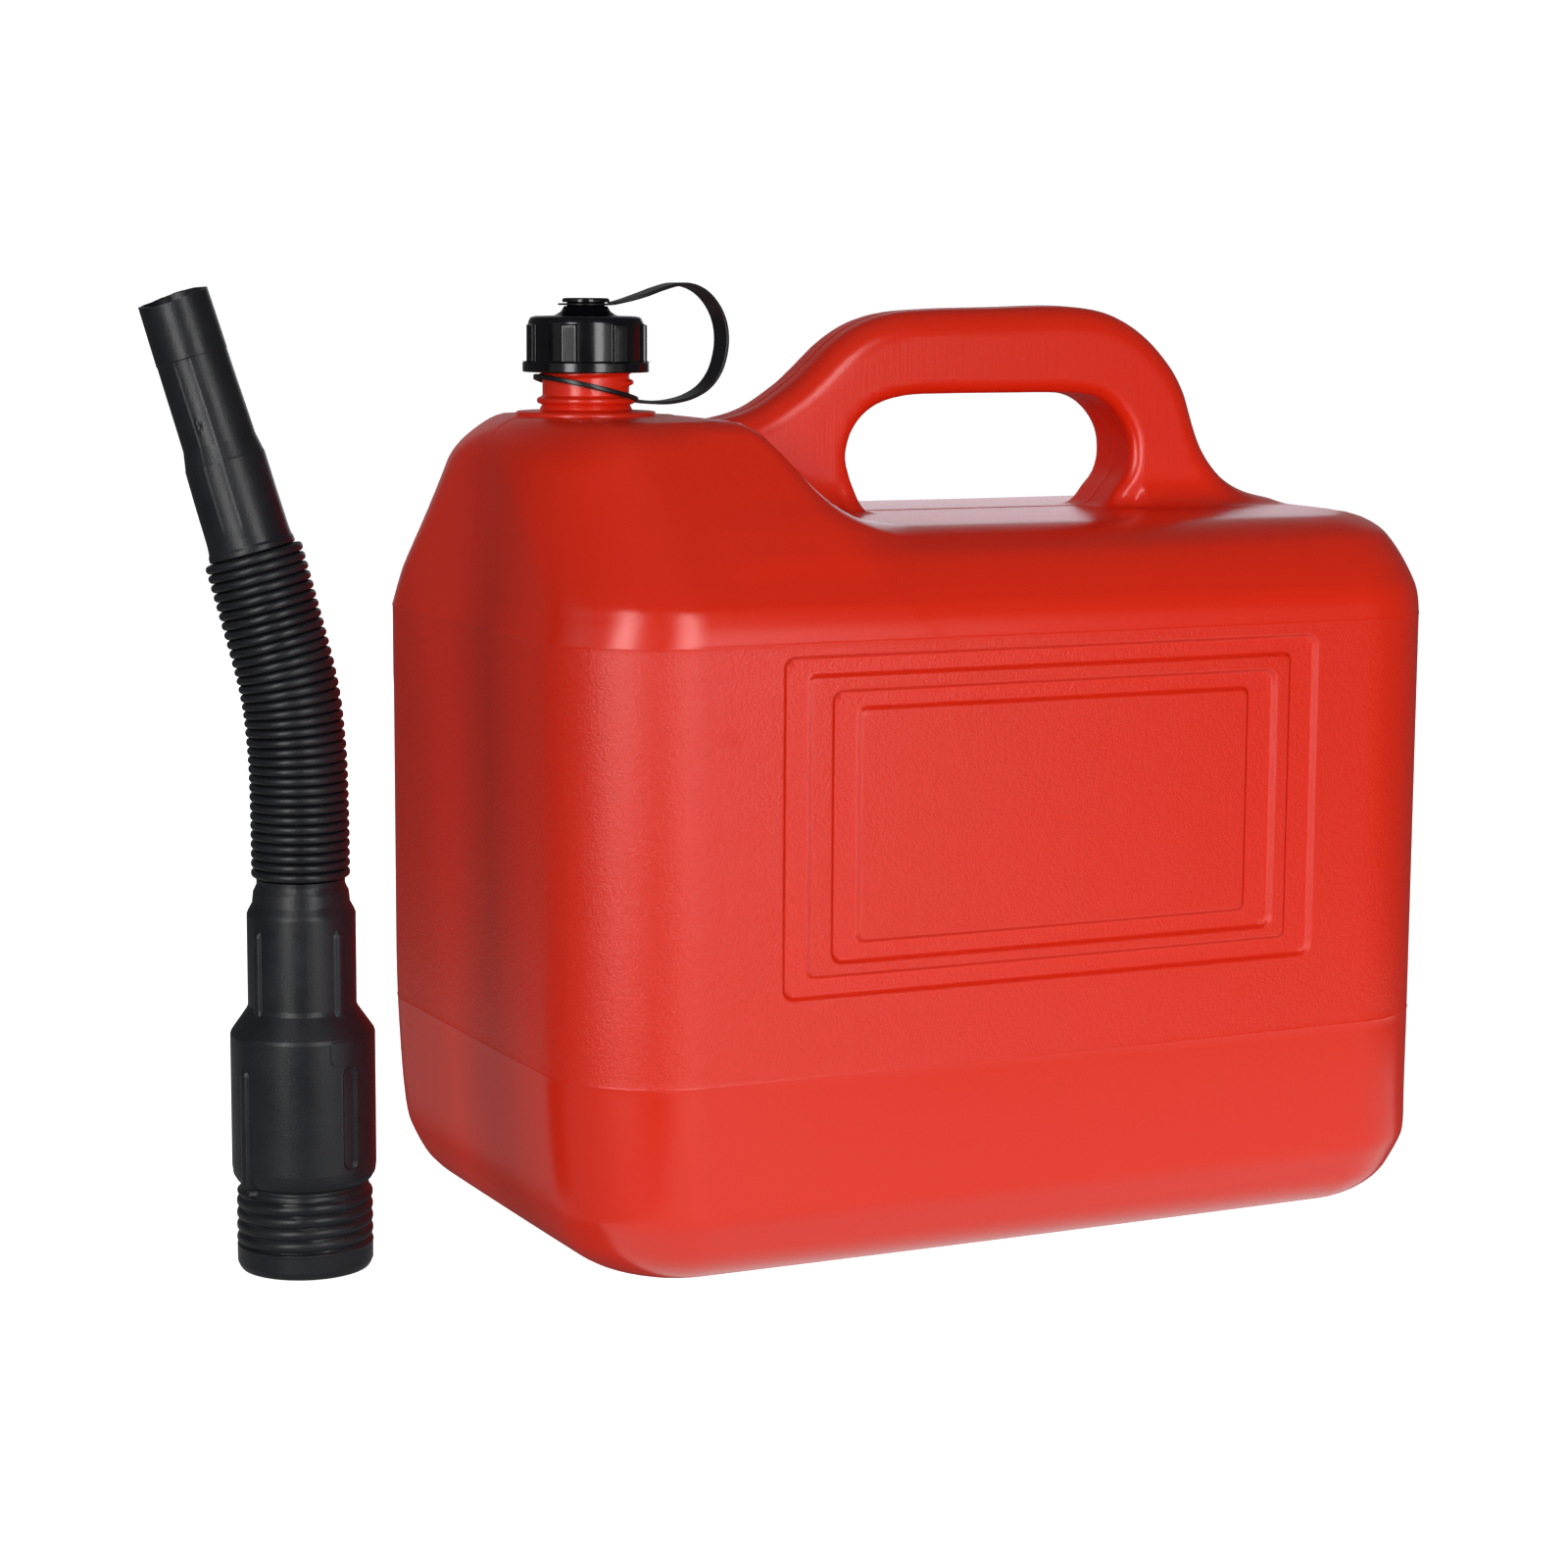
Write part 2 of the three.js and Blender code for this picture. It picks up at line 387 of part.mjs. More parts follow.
for (let i = 8; i >= 0; i--) bel.push([lerp(0.3, BEL_LEN, i / 8), 13.2]);
const bellows = along(bel, 14);
const NZ = BEL_LEN + 0.3;
const nozzle = along([
  [NZ, 15.0], [NZ + 5, 14.7], [NZ + 33, 14.4], [NZ + 37, 13.6], [NZ + 40, 13.0], [NZ + 70, 12.6], [NZ + 71, 12.8], [NZ + 73, 12.8], [NZ + 74, 12.5], [SPINE_LEN, 12.4],
  [SPINE_LEN, 10.6], [NZ + 40, 11.0], [NZ + 34, 12.3], [NZ, 12.9],
], 24);

// ---- assembly -------------------------------------------------------------------------
const object = new THREE.Group();
function piece(name, solid, material, parent = object) {
  const mesh = new THREE.Mesh(toGeometry(solid.translate([0, 0, -FLOOR])), material);
  mesh.name = name;
  parent.add(mesh);
  return mesh;
}
piece('can_tank', canTank, M.red);
piece('can_handle', canGrip, M.red);
piece('can_neck', canNeck, M.red);
const onNeck = new THREE.Group(); onNeck.position.set(NECK_X, 0, 0); object.add(onNeck);
piece('cap', cap, M.black, onNeck);
piece('cap_gasket', gasket, M.seal, onNeck);
piece('tether_eye', eye, M.strap, onNeck);
piece('tether_ring', ring, M.strap);
piece('tether_band', band, M.strap);
const spoutGroup = new THREE.Group(); spoutGroup.position.set(SPOUT_X, SPOUT_Y, 0); object.add(spoutGroup);
piece('spout_base', spoutBase, M.spout, spoutGroup);
piece('spout_bellows', bellows, M.spout, spoutGroup);
piece('spout_nozzle', nozzle, M.spout, spoutGroup);
export default object;
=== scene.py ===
import math
import bpy
import numpy as np
from mathutils import Matrix, Vector


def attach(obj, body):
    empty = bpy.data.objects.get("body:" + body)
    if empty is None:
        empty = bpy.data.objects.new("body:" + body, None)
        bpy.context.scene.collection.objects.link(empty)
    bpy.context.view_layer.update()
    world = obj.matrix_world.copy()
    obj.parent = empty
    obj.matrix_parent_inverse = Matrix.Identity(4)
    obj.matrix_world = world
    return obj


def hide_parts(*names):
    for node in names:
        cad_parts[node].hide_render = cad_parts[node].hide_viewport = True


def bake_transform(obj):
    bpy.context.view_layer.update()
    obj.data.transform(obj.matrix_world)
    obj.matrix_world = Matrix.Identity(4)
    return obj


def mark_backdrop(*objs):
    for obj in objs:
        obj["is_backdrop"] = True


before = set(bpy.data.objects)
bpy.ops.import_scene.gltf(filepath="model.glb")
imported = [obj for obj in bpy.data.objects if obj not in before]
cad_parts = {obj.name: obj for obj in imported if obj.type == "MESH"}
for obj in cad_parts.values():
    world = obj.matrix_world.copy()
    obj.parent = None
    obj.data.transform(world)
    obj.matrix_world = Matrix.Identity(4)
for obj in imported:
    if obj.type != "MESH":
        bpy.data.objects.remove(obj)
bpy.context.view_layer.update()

scene = bpy.context.scene
MM = 0.001
SEAL_BODY = "seal"
FLOOR = 3.6     # height of the ground in the millimetre figures below; the meshes are lowered by it


# ================================================================ helpers
class Curve:
    """Monotone cubic through (x, y) points, straight beyond both ends."""

    def __init__(self, pts):
        p = np.array(pts, float)
        x, y = p[:, 0], p[:, 1]
        h = np.diff(x)
        d = np.diff(y) / h
        m = np.zeros(len(x))
        m[0], m[-1] = d[0], d[-1]
        for i in range(1, len(x) - 1):
            if d[i - 1] * d[i] > 0:
                w1, w2 = 2 * h[i] + h[i - 1], h[i] + 2 * h[i - 1]
                m[i] = (w1 + w2) / (w1 / d[i - 1] + w2 / d[i])
        self.x, self.y, self.h, self.m = x, y, h, m

    def __call__(self, q):
        q = np.asarray(q, float)
        i = np.clip(np.searchsorted(self.x, q) - 1, 0, len(self.h) - 1)
        h = self.h[i]
        t = (q - self.x[i]) / h
        tc = np.clip(t, 0, 1)
        y = ((1 + 2 * tc) * (1 - tc) ** 2 * self.y[i] + tc * (1 - tc) ** 2 * h * self.m[i]
             + tc * tc * (3 - 2 * tc) * self.y[i + 1] + tc * tc * (tc - 1) * h * self.m[i + 1])
        return y + np.where(t > 1, (t - 1) * h * self.m[i + 1], 0) + np.where(t < 0, t * h * self.m[i], 0)


def ss(a, b, x):
    t = np.clip((x - a) / (b - a), 0, 1)
    return t * t * (3 - 2 * t)


def smin(a, b, k):
    h = np.clip(0.5 + 0.5 * (b - a) / k, 0, 1)
    return b + (a - b) * h - k * h * (1 - h)


def rmax(a, b, r):
    """Both of two solids, their common edge rounded with radius r."""
    u, v = np.maximum(a + r, 0), np.maximum(b + r, 0)
    return np.minimum(-r, np.maximum(a, b)) + np.sqrt(u * u + v * v)


def spline(points, n=8, closed=False):
    """Points of a centripetal Catmull-Rom spline."""
    P = np.array(points, float)
    if closed:
        P = np.vstack([P[-1], P, P[0], P[1]])
    else:
        P = np.vstack([2 * P[0] - P[1], P, 2 * P[-1] - P[-2]])
    out = []
    for i in range(1, len(P) - 2):
        p0, p1, p2, p3 = P[i - 1:i + 3]
        t0 = 0.0
        t1 = t0 + max(1e-6, np.linalg.norm(p1 - p0)) ** 0.5
        t2 = t1 + max(1e-6, np.linalg.norm(p2 - p1)) ** 0.5
        t3 = t2 + max(1e-6, np.linalg.norm(p3 - p2)) ** 0.5
        for t in np.linspace(t1, t2, n, endpoint=False):
            a1 = (t1 - t) / (t1 - t0) * p0 + (t - t0) / (t1 - t0) * p1
            a2 = (t2 - t) / (t2 - t1) * p1 + (t - t1) / (t2 - t1) * p2
            a3 = (t3 - t) / (t3 - t2) * p2 + (t - t2) / (t3 - t2) * p3
            b1 = (t2 - t) / (t2 - t0) * a1 + (t - t0) / (t2 - t0) * a2
            b2 = (t3 - t) / (t3 - t1) * a2 + (t - t1) / (t3 - t1) * a3
            out.append((t2 - t) / (t2 - t1) * b1 + (t - t1) / (t2 - t1) * b2)
    if not closed:
        out.append(P[-2])
    return np.array(out)


def polygon_distance(px, pz, poly):
    """Signed distance to a closed polygon, negative inside."""
    shape = np.broadcast(px, pz).shape
    x, z = np.broadcast_to(px, shape).ravel(), np.broadcast_to(pz, shape).ravel()
    best = np.full(x.shape, 1e18)
    inside = np.zeros(x.shape, bool)
    a = poly
    b = np.roll(poly, -1, axis=0)
    for (ax, az), (bx, bz) in zip(a, b):
        ex, ez = bx - ax, bz - az
        wx, wz = x - ax, z - az
        t = np.clip((wx * ex + wz * ez) / max(1e-12, ex * ex + ez * ez), 0, 1)
        dx, dz = wx - t * ex, wz - t * ez
        best = np.minimum(best, dx * dx + dz * dz)
        cross = (az > z) != (bz > z)
        if abs(ez) > 1e-12:
            inside ^= cross & (x < ax + (z - az) * ex / ez)
    return (np.sqrt(best) * np.where(inside, -1, 1)).reshape(shape)


def mesh_object(name, verts, faces, smooth=True):
    """verts in millimetres; faces an (n, 4) array or a list."""
    me = bpy.data.meshes.new(name)
    me.from_pydata(((np.asarray(verts, float) - (0, 0, FLOOR)) * MM).tolist(), [], [list(map(int, f)) for f in faces])
    me.update()
    if smooth:
        me.polygons.foreach_set("use_smooth", [True] * len(me.polygons))
    ob = bpy.data.objects.new(name, me)
    scene.collection.objects.link(ob)
    return ob


def grid_faces(rows, cols, wrap_cols=True, wrap_rows=False, base=0):
    """Quads of a rows x cols grid of vertices."""
    r = np.arange(rows if wrap_rows else rows - 1)
    c = np.arange(cols if wrap_cols else cols - 1)
    R, C = np.meshgrid(r, c, indexing="ij")
    R2, C2 = (R + 1) % rows, (C + 1) % cols
    return base + np.stack([R * cols + C, R * cols + C2, R2 * cols + C2, R2 * cols + C], -1).reshape(-1, 4)


def turned(name, profile, segments=96, radius=None, close=False, axis=(0, 0)):
    """A body of revolution about a vertical axis, from (r, z) points. radius(theta, r, z, i) may change r.
    An end on the axis closes in a point; close joins the last row to the first."""
    prof = [tuple(p) for p in profile]
    th = np.arange(segments) * 2 * math.pi / segments if np.isscalar(segments) else np.asarray(segments)
    segments = len(th)
    verts, rows, tips = [], [], {}
    for i, (r, z) in enumerate(prof):
        if r < 1e-9:
            tips[i] = len(verts)
            verts.append((axis[0], axis[1], z))
            rows.append(None)
            continue
        rr = np.full(segments, r) if radius is None else radius(th, r, z, i)
        zz = z
        if isinstance(rr, tuple):
            rr, zz = rr
        rows.append(len(verts))
        verts.extend(zip(axis[0] + rr * np.cos(th), axis[1] + rr * np.sin(th), np.broadcast_to(zz, (segments,))))
    faces = []
    n = len(prof)
    for i in range(n if close else n - 1):
        a, b = rows[i], rows[(i + 1) % n]
        for k in range(segments):
            k2 = (k + 1) % segments
            if a is None:
                faces.append((tips[i], b + k2, b + k))
            elif b is None:
                faces.append((a + k, a + k2, tips[(i + 1) % n]))
            else:
                faces.append((a + k, a + k2, b + k2, b + k))
    ob = mesh_object(name, verts, faces)
    outward(ob)
    return ob


def outward(ob):
    """Turns the faces so that they look out of the closed body."""
    me = ob.data
    n = len(me.polygons)
    tri_vol = 0.0
    me.calc_loop_triangles()
    co = np.zeros(len(me.vertices) * 3)
    me.vertices.foreach_get("co", co)
    co = co.reshape(-1, 3)
    lt = np.zeros(len(me.loop_triangles) * 3, int)
    me.loop_triangles.foreach_get("vertices", lt)
    t = co[lt.reshape(-1, 3)]
    tri_vol = np.einsum("ij,ij->i", t[:, 0], np.cross(t[:, 1], t[:, 2])).sum()
    if tri_vol < 0:
        me.flip_normals()
    return ob


def sharp(ob, degrees):
    """Keeps edges steeper than this angle crisp in the shading."""
    ob.data.set_sharp_from_angle(angle=math.radians(degrees))
    return ob


def smooth_rows(points, step):
    """Resamples an (r, z) polyline so that no piece is longer than step."""
    out = [tuple(points[0])]
    for a, b in zip(points, points[1:]):
        d = math.dist(a, b)
        m = max(1, int(math.ceil(d / step)))
        out += [(a[0] + (b[0] - a[0]) * k / m, a[1] + (b[1] - a[1]) * k / m) for k in range(1, m + 1)]
    return out


def rounded(points, radius=0.5, n=3):
    """An (r, z) polyline with its corners rounded. A point may carry its own radius as a third number."""
    out = []
    P = [tuple(p) for p in points]
    for i, p in enumerate(P):
        rad = p[2] if len(p) > 2 else radius
        q = np.array(p[:2])
        if i in (0, len(P) - 1) or rad <= 0:
            out.append(tuple(q))
            continue
        a, b = np.array(P[i - 1][:2]) - q, np.array(P[i + 1][:2]) - q
        la, lb = np.linalg.norm(a), np.linalg.norm(b)
        if la < 1e-9 or lb < 1e-9:
            out.append(tuple(q))
            continue
        a, b = a / la, b / lb
        cosang = float(np.clip(a @ b, -1, 1))
        if cosang < -0.9995:
            out.append(tuple(q))
            continue
        half = math.acos(cosang) / 2
        cut = min(rad / math.tan(half), 0.49 * la, 0.49 * lb)
        s, e = q + a * cut, q + b * cut
        for k in range(n + 1):
            t = k / n
            out.append(tuple((1 - t) ** 2 * s + 2 * t * (1 - t) * q + t * t * e))
    return out


# ================================================================ the can
H, L = 115.0, 180.0
WALL = 2.4
NECK_X = -132.8
Z_UP, Z_LOW = 232.2, 78.7       # the two mould lines round the walls
GROOVES = [((-106.73, 112.56, 107.29, 227.6), (-97.04, 101.22, 114.53, 220.94)),
           ((-88.04, 94.63, 119.1, 215.36), (-77.77, 82.83, 126.13, 208.93))]
GROOVE_D = 1.7

_low = [(-14, 22.5), (0, 15.0), (4.5, 12.7), (12, 8.8), (20, 4.75), (26, 1.75), (28.2, 0.75), (30.5, 0.15), (33, 0.0), (50, 0), (225, 0), (232, 0)]
_end = [(-14, 31.0), (0, 21.6), (4.5, 18.4), (12, 13.2), (20, 8.4), (30, 4.6), (42, 2.7), (60, 1.3), (85, 0.2), (100, 0), (225, 0), (232, 0), (236, 0.9), (240, 1.9)]
DEPTH_DECK = Curve([(z, H - d) for z, d in _low + [(236, 0.25), (240, 0.9), (244, 2.5), (248, 5.3), (255, 11.3), (262, 19.0), (266, 25.0), (276, 43), (330, 150)]])
DEPTH_PLAT = Curve([(z, H - d) for z, d in _low + [(236, 0.25), (240, 0.9), (244, 2.2), (248, 4.9), (252, 8.1), (256, 11.5), (266, 20.3), (280, 32.7), (291, 42.4), (304, 53.8), (330, 76.6)]])
LEFT_PLAT = Curve([(z, -L + d) for z, d in _end + [(246, 2.6), (252, 3.1), (264, 4.0), (288, 5.3), (330, 7.6)]])
LEFT_DECK = Curve([(z, -L + d) for z, d in _end + [(244, 4), (252, 16), (262, 40), (276, 60), (330, 80)]])
RIGHT = Curve([(z, L - d) for z, d in [(-14, 25.5), (0, 15.8), (4.5, 12.8), (12, 8.0), (20, 4.0), (28, 1.4), (36, 0.4), (60, 0.1), (80, 0), (225, 0), (232, 0), (236, 0.15), (240, 0.5), (248, 1.7), (255, 3.4), (262, 6.0), (270, 10.5), (280, 18), (330, 60)]])
CORNER_X = Curve([(-14, 24), (4.5, 33), (12, 36), (20, 39), (30, 42), (50, 43.4), (232, 43.4), (252, 42), (266, 41), (280, 40), (291, 37.5), (304, 34.5), (312, 33), (330, 33)])
CORNER_Y = Curve([(-14, 24), (4.5, 33), (12, 36), (20, 39), (30, 42), (50, 43.4), (232, 43.4), (246, 44), (256, 46.5), (266, 49), (280, 52.5), (291, 55), (304, 57.5), (330, 57.5)])
CORNER_R = Curve([(-14, 30), (4.5, 34), (12, 37), (20, 40), (30, 42), (50, 43.4), (232, 43.4), (248, 42), (255, 40), (262, 37), (270, 32), (280, 28), (330, 28)])
CORNER_S = Curve([(-14, 36), (4.5, 38), (12, 40), (20, 41.5), (30, 43), (50, 43.4), (232, 43.4), (248, 42), (255, 40), (262, 37), (270, 32), (280, 28), (330, 28)])
Z_DECK, Z_PLAT = 269.7, 307.5

ARCH = np.vstack([
    [(-112, 250), (-112, 286)],
    spline([(-108, 294), (-100, 299.7), (-92, 303.0), (-86, 304.5), (-80, 305.8), (-74, 307.1), (-70.3, 308.2), (-66.5, 309.7), (-63.4, 311.3), (-59, 314.0), (-54.8, 316.8), (-51, 319.5), (-47.9, 322.2), (-43.7, 325.9), (-37.2, 331.9), (-30.6, 336.8), (-21.7, 341.5), (-9.6, 344.9), (7.9, 346.3), (35.4, 347.0), (61.5, 347.7), (75.7, 346.8), (85, 344.8), (94, 340.9), (102.5, 335.2), (109.5, 328.6), (115, 322.0), (119.4, 314.4), (122.6, 305.6), (125.4, 297.8), (128.6, 291.2), (133.4, 284.6), (139.8, 278.4), (147.6, 272.8), (157, 268.2), (167, 264.8), (178, 261)], 6),
    [(178, 250)]])
WINDOW = np.vstack([
    [(-22.6, 240)],
    spline([(-22.9, 262), (-23.8, 268), (-26.3, 273.6), (-28.9, 279.4), (-31.0, 285), (-32.0, 290.4), (-31.4, 295.6), (-29.2, 301.0), (-25.2, 306.2), (-19.2, 310.4), (-11.6, 312.9), (-3, 314.1), (10, 314.4), (36, 314.5), (62, 314.4), (72, 313.7), (78.8, 312.0), (84.4, 308.5), (89.0, 303.5), (91.8, 298), (92.8, 292), (92.4, 286.4), (90.4, 281.6), (86.8, 277.4), (83.4, 272.6), (80.8, 267.0), (79, 260)], 6),
    [(78.4, 240)]])


def plan(x, y, z, x0, x1, b, r0x, r0y, r1, slope_y):
    """Signed distance, in plan, to a rectangle with rounded corners; the walls may lean."""
    xm = (x0 + x1) / 2
    half = (x1 - x0) / 2
    nx = np.clip((x - xm) / half, -1, 1)
    ay = np.sqrt(y * y + 0.01) - 0.1
    by = b + 1.7 * (1 - nx * nx) * np.clip(b / H, 0, 1) ** 2
    ny = np.clip(ay / b, 0, 1)
    bulge = 0.7 * (1 - ny * ny) * np.clip(b / H, 0, 1) ** 2
    left = x < xm
    rx = np.where(left, r0x, r1)
    ry = np.where(left, np.minimum(r0y, b - 2), np.minimum(r1, b - 2))
    qx = np.where(left, (x0 - bulge) - x, x - (x1 + bulge)) + rx
    qy = ay - by + ry
    ux, uy = np.maximum(qx, 0), np.maximum(qy, 0)
    rho = np.sqrt((ux / rx) ** 2 + (uy / ry) ** 2)
    den = np.sqrt((ux / rx ** 2) ** 2 + (uy / ry ** 2) ** 2) + 1e-9
    corner = (rho - 1) * rho / den
    flat = np.maximum(qx - rx, qy - ry)
    d = np.where((qx > 0) & (qy > 0), corner, flat)
    lean = 1 / np.sqrt(1 + slope_y ** 2)
    face = np.where(qx > 0, np.clip(uy / (ux + uy + 1e-9), 0, 1), 1.0)
    return d * (1 + (lean - 1) * face)


def rect2(x, z, r, corner):
    x0, x1, z0, z1 = r
    qx = np.abs(x - (x0 + x1) / 2) - (x1 - x0) / 2 + corner
    qz = np.abs(z - (z0 + z1) / 2) - (z1 - z0) / 2 + corner
    return np.sqrt(np.maximum(qx, 0) ** 2 + np.maximum(qz, 0) ** 2) + np.minimum(np.maximum(qx, qz), 0) - corner


def handle_field(x, y, z):
    ay = np.sqrt(y * y + 0.01) - 0.1
    outer = polygon_distance(x, z, ARCH)
    hole = -polygon_distance(x, z, WINDOW)
    half = 16.0 + 0.9 * ss(300, 272, z)
    arch = rmax(outer, ay - half, 10.5)
    rim = rmax(hole, ay - half, 5.2)
    return np.maximum(arch, rim)


def can_field(x, y, z, detail=True, handle=None):
    """Signed distance-like field of the can's outside, without its neck. Millimetres, negative inside."""
    bd, bp = DEPTH_DECK(z), DEPTH_PLAT(z)
    sd = (DEPTH_DECK(z + 0.5) - DEPTH_DECK(z - 0.5))
    sp = (DEPTH_PLAT(z + 0.5) - DEPTH_PLAT(z - 0.5))
    ld, lp, r1 = LEFT_DECK(z), LEFT_PLAT(z), RIGHT(z)
    cx, cy, cr = CORNER_X(z), CORNER_Y(z), CORNER_R(z)
    # main tank up to the deck
    wall = plan(x, y, z, ld, r1, bd, cr, CORNER_S(z), cr, sd)
    deck = z - (Z_DECK - 1.4 * (np.abs(y) / 88) ** 2)
    tank = rmax(wall, deck, 9.0 - 2.0 * ss(60, 130, x))
    tank = rmax(tank, FLOOR - z, 14.0)
    # raised platform round the neck
    pw = plan(x, y, z, lp, lp + 2 * L, bp, cx, cy, cr, sp)
    xr = -91 + 0.80 * (304.5 - z)
    side = (x - xr) * 0.78
    pw = rmax(pw, side, 5.0 + 7 * ss(300, 270, z))
    top = z - (Z_PLAT - 0.7 * (y / 60) ** 2 - 0.4 * ((x + 132) / 45) ** 2)
    plat = rmax(pw, top, 5.5 + 3.5 * ss(-112, -125, x) + 9.0 * ss(-138, -165, x))
    plat = np.maximum(plat, 200 - z)
    ay = np.abs(y)
    k = 0.6 + 14 * ss(257, 270, z) * ss(104, 86, ay) + 7 * ss(252, 264, z)
    body = smin(tank, plat, k)
    # hollow handle
    hf = handle_field(x, y, z) if handle is None else handle
    inside_window = ss(-40, -32, x) * ss(98, 92, x) * ss(292, 284, z)
    kh = 13.0 - 8.0 * inside_window + 5 * ss(-55, -75, x) * ss(300, 290, z) - 7 * ss(-55, -70, x) * ss(296, 304, z)
    kh = kh * (1 - 0.93 * ss(158, 171, x))
    body = smin(body, hf, kh)
    if detail:
        near = ss(60, 100, ay)
        cut = 0.0
        for (o, i) in GROOVES:
            ro, ri = rect2(x, z, o, 4.0), rect2(x, z, i, 2.2)
            cut = cut + ss(0.9, -0.9, ro) * ss(-0.9, 0.9, ri)
        body = body + GROOVE_D * cut * near
        body = body - 0.2 * np.exp(-((z - Z_UP) / 0.42) ** 2) - 0.2 * np.exp(-((z - Z_LOW) / 0.42) ** 2)
        body = body - 0.22 * np.exp(-(y / 0.38) ** 2) * ss(240, 262, z)
    return body


def gradient(f, v, h):
    g = np.empty_like(v)
    for a in range(3):
        e = np.zeros(3)
        e[a] = h
        p, q = v + e, v - e
        g[:, a] = (f(p[:, 0], p[:, 1], p[:, 2]) - f(q[:, 0], q[:, 1], q[:, 2])) / (2 * h)
    return g


def surface_nets(F, xs, ys, zs):
    """Quads of the zero surface of F sampled on a rectilinear grid, facing towards positive values."""
    S = F < 0
    nx, ny, nz = F.shape
    cx, cy, cz = nx - 1, ny - 1, nz - 1
    acc = np.zeros((cx * cy * cz, 3))
    cnt = np.zeros(cx * cy * cz)
    ax = [np.asarray(xs, float), np.asarray(ys, float), np.asarray(zs, float)]
    quads = []
    cell = lambda i, j, k: (i * cy + j) * cz + k
    for a in range(3):
        s0 = [slice(None)] * 3
        s1 = [slice(None)] * 3
        s0[a], s1[a] = slice(0, -1), slice(1, None)
        idx = np.nonzero(S[tuple(s0)] != S[tuple(s1)])
        f0, f1 = F[tuple(s0)][idx], F[tuple(s1)][idx]
        t = f0 / (f0 - f1)
        pos = np.stack([ax[d][idx[d]] for d in range(3)], 1)
        pos[:, a] += t * (ax[a][idx[a] + 1] - ax[a][idx[a]])
        b, c = (a + 1) % 3, (a + 2) % 3
        for db in (-1, 0):
            for dc in (-1, 0):
                ii = [idx[0].copy(), idx[1].copy(), idx[2].copy()]
                ii[b] += db
                ii[c] += dc
                lim = (cx, cy, cz)
                ok = (ii[b] >= 0) & (ii[b] < lim[b]) & (ii[c] >= 0) & (ii[c] < lim[c])
                ids = cell(ii[0][ok], ii[1][ok], ii[2][ok])
                for d in range(3):
                    acc[:, d] += np.bincount(ids, pos[ok, d], minlength=len(cnt))
                cnt += np.bincount(ids, minlength=len(cnt))
        ring = []
        for db, dc in ((-1, -1), (0, -1), (0, 0), (-1, 0)):
            ii = [idx[0].copy(), idx[1].copy(), idx[2].copy()]
            ii[b] += db
            ii[c] += dc
            ring.append(cell(*ii))
        q = np.stack(ring, 1)
        flip = f0 > 0
        q[flip] = q[flip][:, ::-1]
        quads.append(q)
    used = np.nonzero(cnt > 0)[0]
    new = np.full(len(cnt), -1)
    new[used] = np.arange(len(used))
    verts = acc[used] / cnt[used, None]
    return verts, new[np.vstack(quads)]


def lines(stops, dense=()):
    """Grid lines: stops are (from, to, step); dense are (centre, offsets)."""
    v = []
    for a, b, s in stops:
        n = max(1, int(round((b - a) / s)))
        v += list(np.linspace(a, b, n + 1))
    extra = [c + o for c, offs in dense for o in offs]
    v = [x for x in v if all(abs(x - e) > 0.75 * abs(s) for e in extra for s in (1.0,))] + extra
    v = np.array(sorted(v))
    keep = [v[0]]
    for x in v[1:]:
        if x - keep[-1] > 0.18:
            keep.append(x)
    return np.array(keep)


def relax_to(f, v, steps, h=0.3, limit=1.2):
    for _ in range(steps):
        g = gradient(f, v, h)
        val = f(v[:, 0], v[:, 1], v[:, 2])
        d = -(val / np.maximum((g * g).sum(1), 0.05))[:, None] * g
        n = np.linalg.norm(d, axis=1)
        v = v + d * np.minimum(1, limit / np.maximum(n, 1e-9))[:, None]
    return v


def split_eval(v, detail=True, offset=0.0):
    """The field at a list of points, the handle worked out only near the top."""
    out = np.empty(len(v))
    hi_ = v[:, 2] > 246
    for m, hand in ((hi_, None), (~hi_, 60.0)):
        if m.any():
            p = v[m]
            out[m] = can_field(p[:, 0], p[:, 1], p[:, 2], detail, hand) + offset
    return out


def field_of(detail=True, offset=0.0):
    return lambda x, y, z: split_eval(np.stack(np.broadcast_arrays(x, y, z), 1), detail, offset)


def field_grid(xs, ys, zs, detail, offset=0.0):
    X, Y, Z = xs[:, None, None], ys[None, :, None], zs[None, None, :]
    out = np.empty((len(xs), len(ys), len(zs)))
    lo_, hi_ = zs <= 246, zs > 246
    out[:, :, lo_] = can_field(X, Y, Z[:, :, lo_], detail, np.full((1, 1, 1), 60.0))
    out[:, :, hi_] = can_field(X, Y, Z[:, :, hi_], detail)
    return out + offset


wall_offs = (-1.5, -0.9, -0.3, 0.3, 0.9, 1.5)
gx = [(v, wall_offs) for pair in GROOVES for r in pair for v in r[:2]]
gz = [(v, wall_offs) for pair in GROOVES for r in pair for v in r[2:]]
line_offs = (-1.1, -0.6, -0.25, 0.0, 0.25, 0.6, 1.1)
coarse = 1.0
XS = lines([(-184, -174, 2.0), (-174, 174, 4.6 * coarse), (174, 184, 2.0)], gx)
YS = lines([(-120, -112, 2.0), (-112, -20, 6.2 * coarse), (-20, 20, 2.2 * coarse), (20, 112, 6.2 * coarse), (112, 120, 2.0)], [(0.0, (-0.8, -0.3, 0.3, 0.8))])
ZS = lines([(1.2, 9, 1.3), (9, 34, 2.3), (34, 228, 6.5 * coarse), (228, 262, 2.8 * coarse), (262, 351, 2.4 * coarse)], gz + [(Z_UP, line_offs), (Z_LOW, line_offs)])


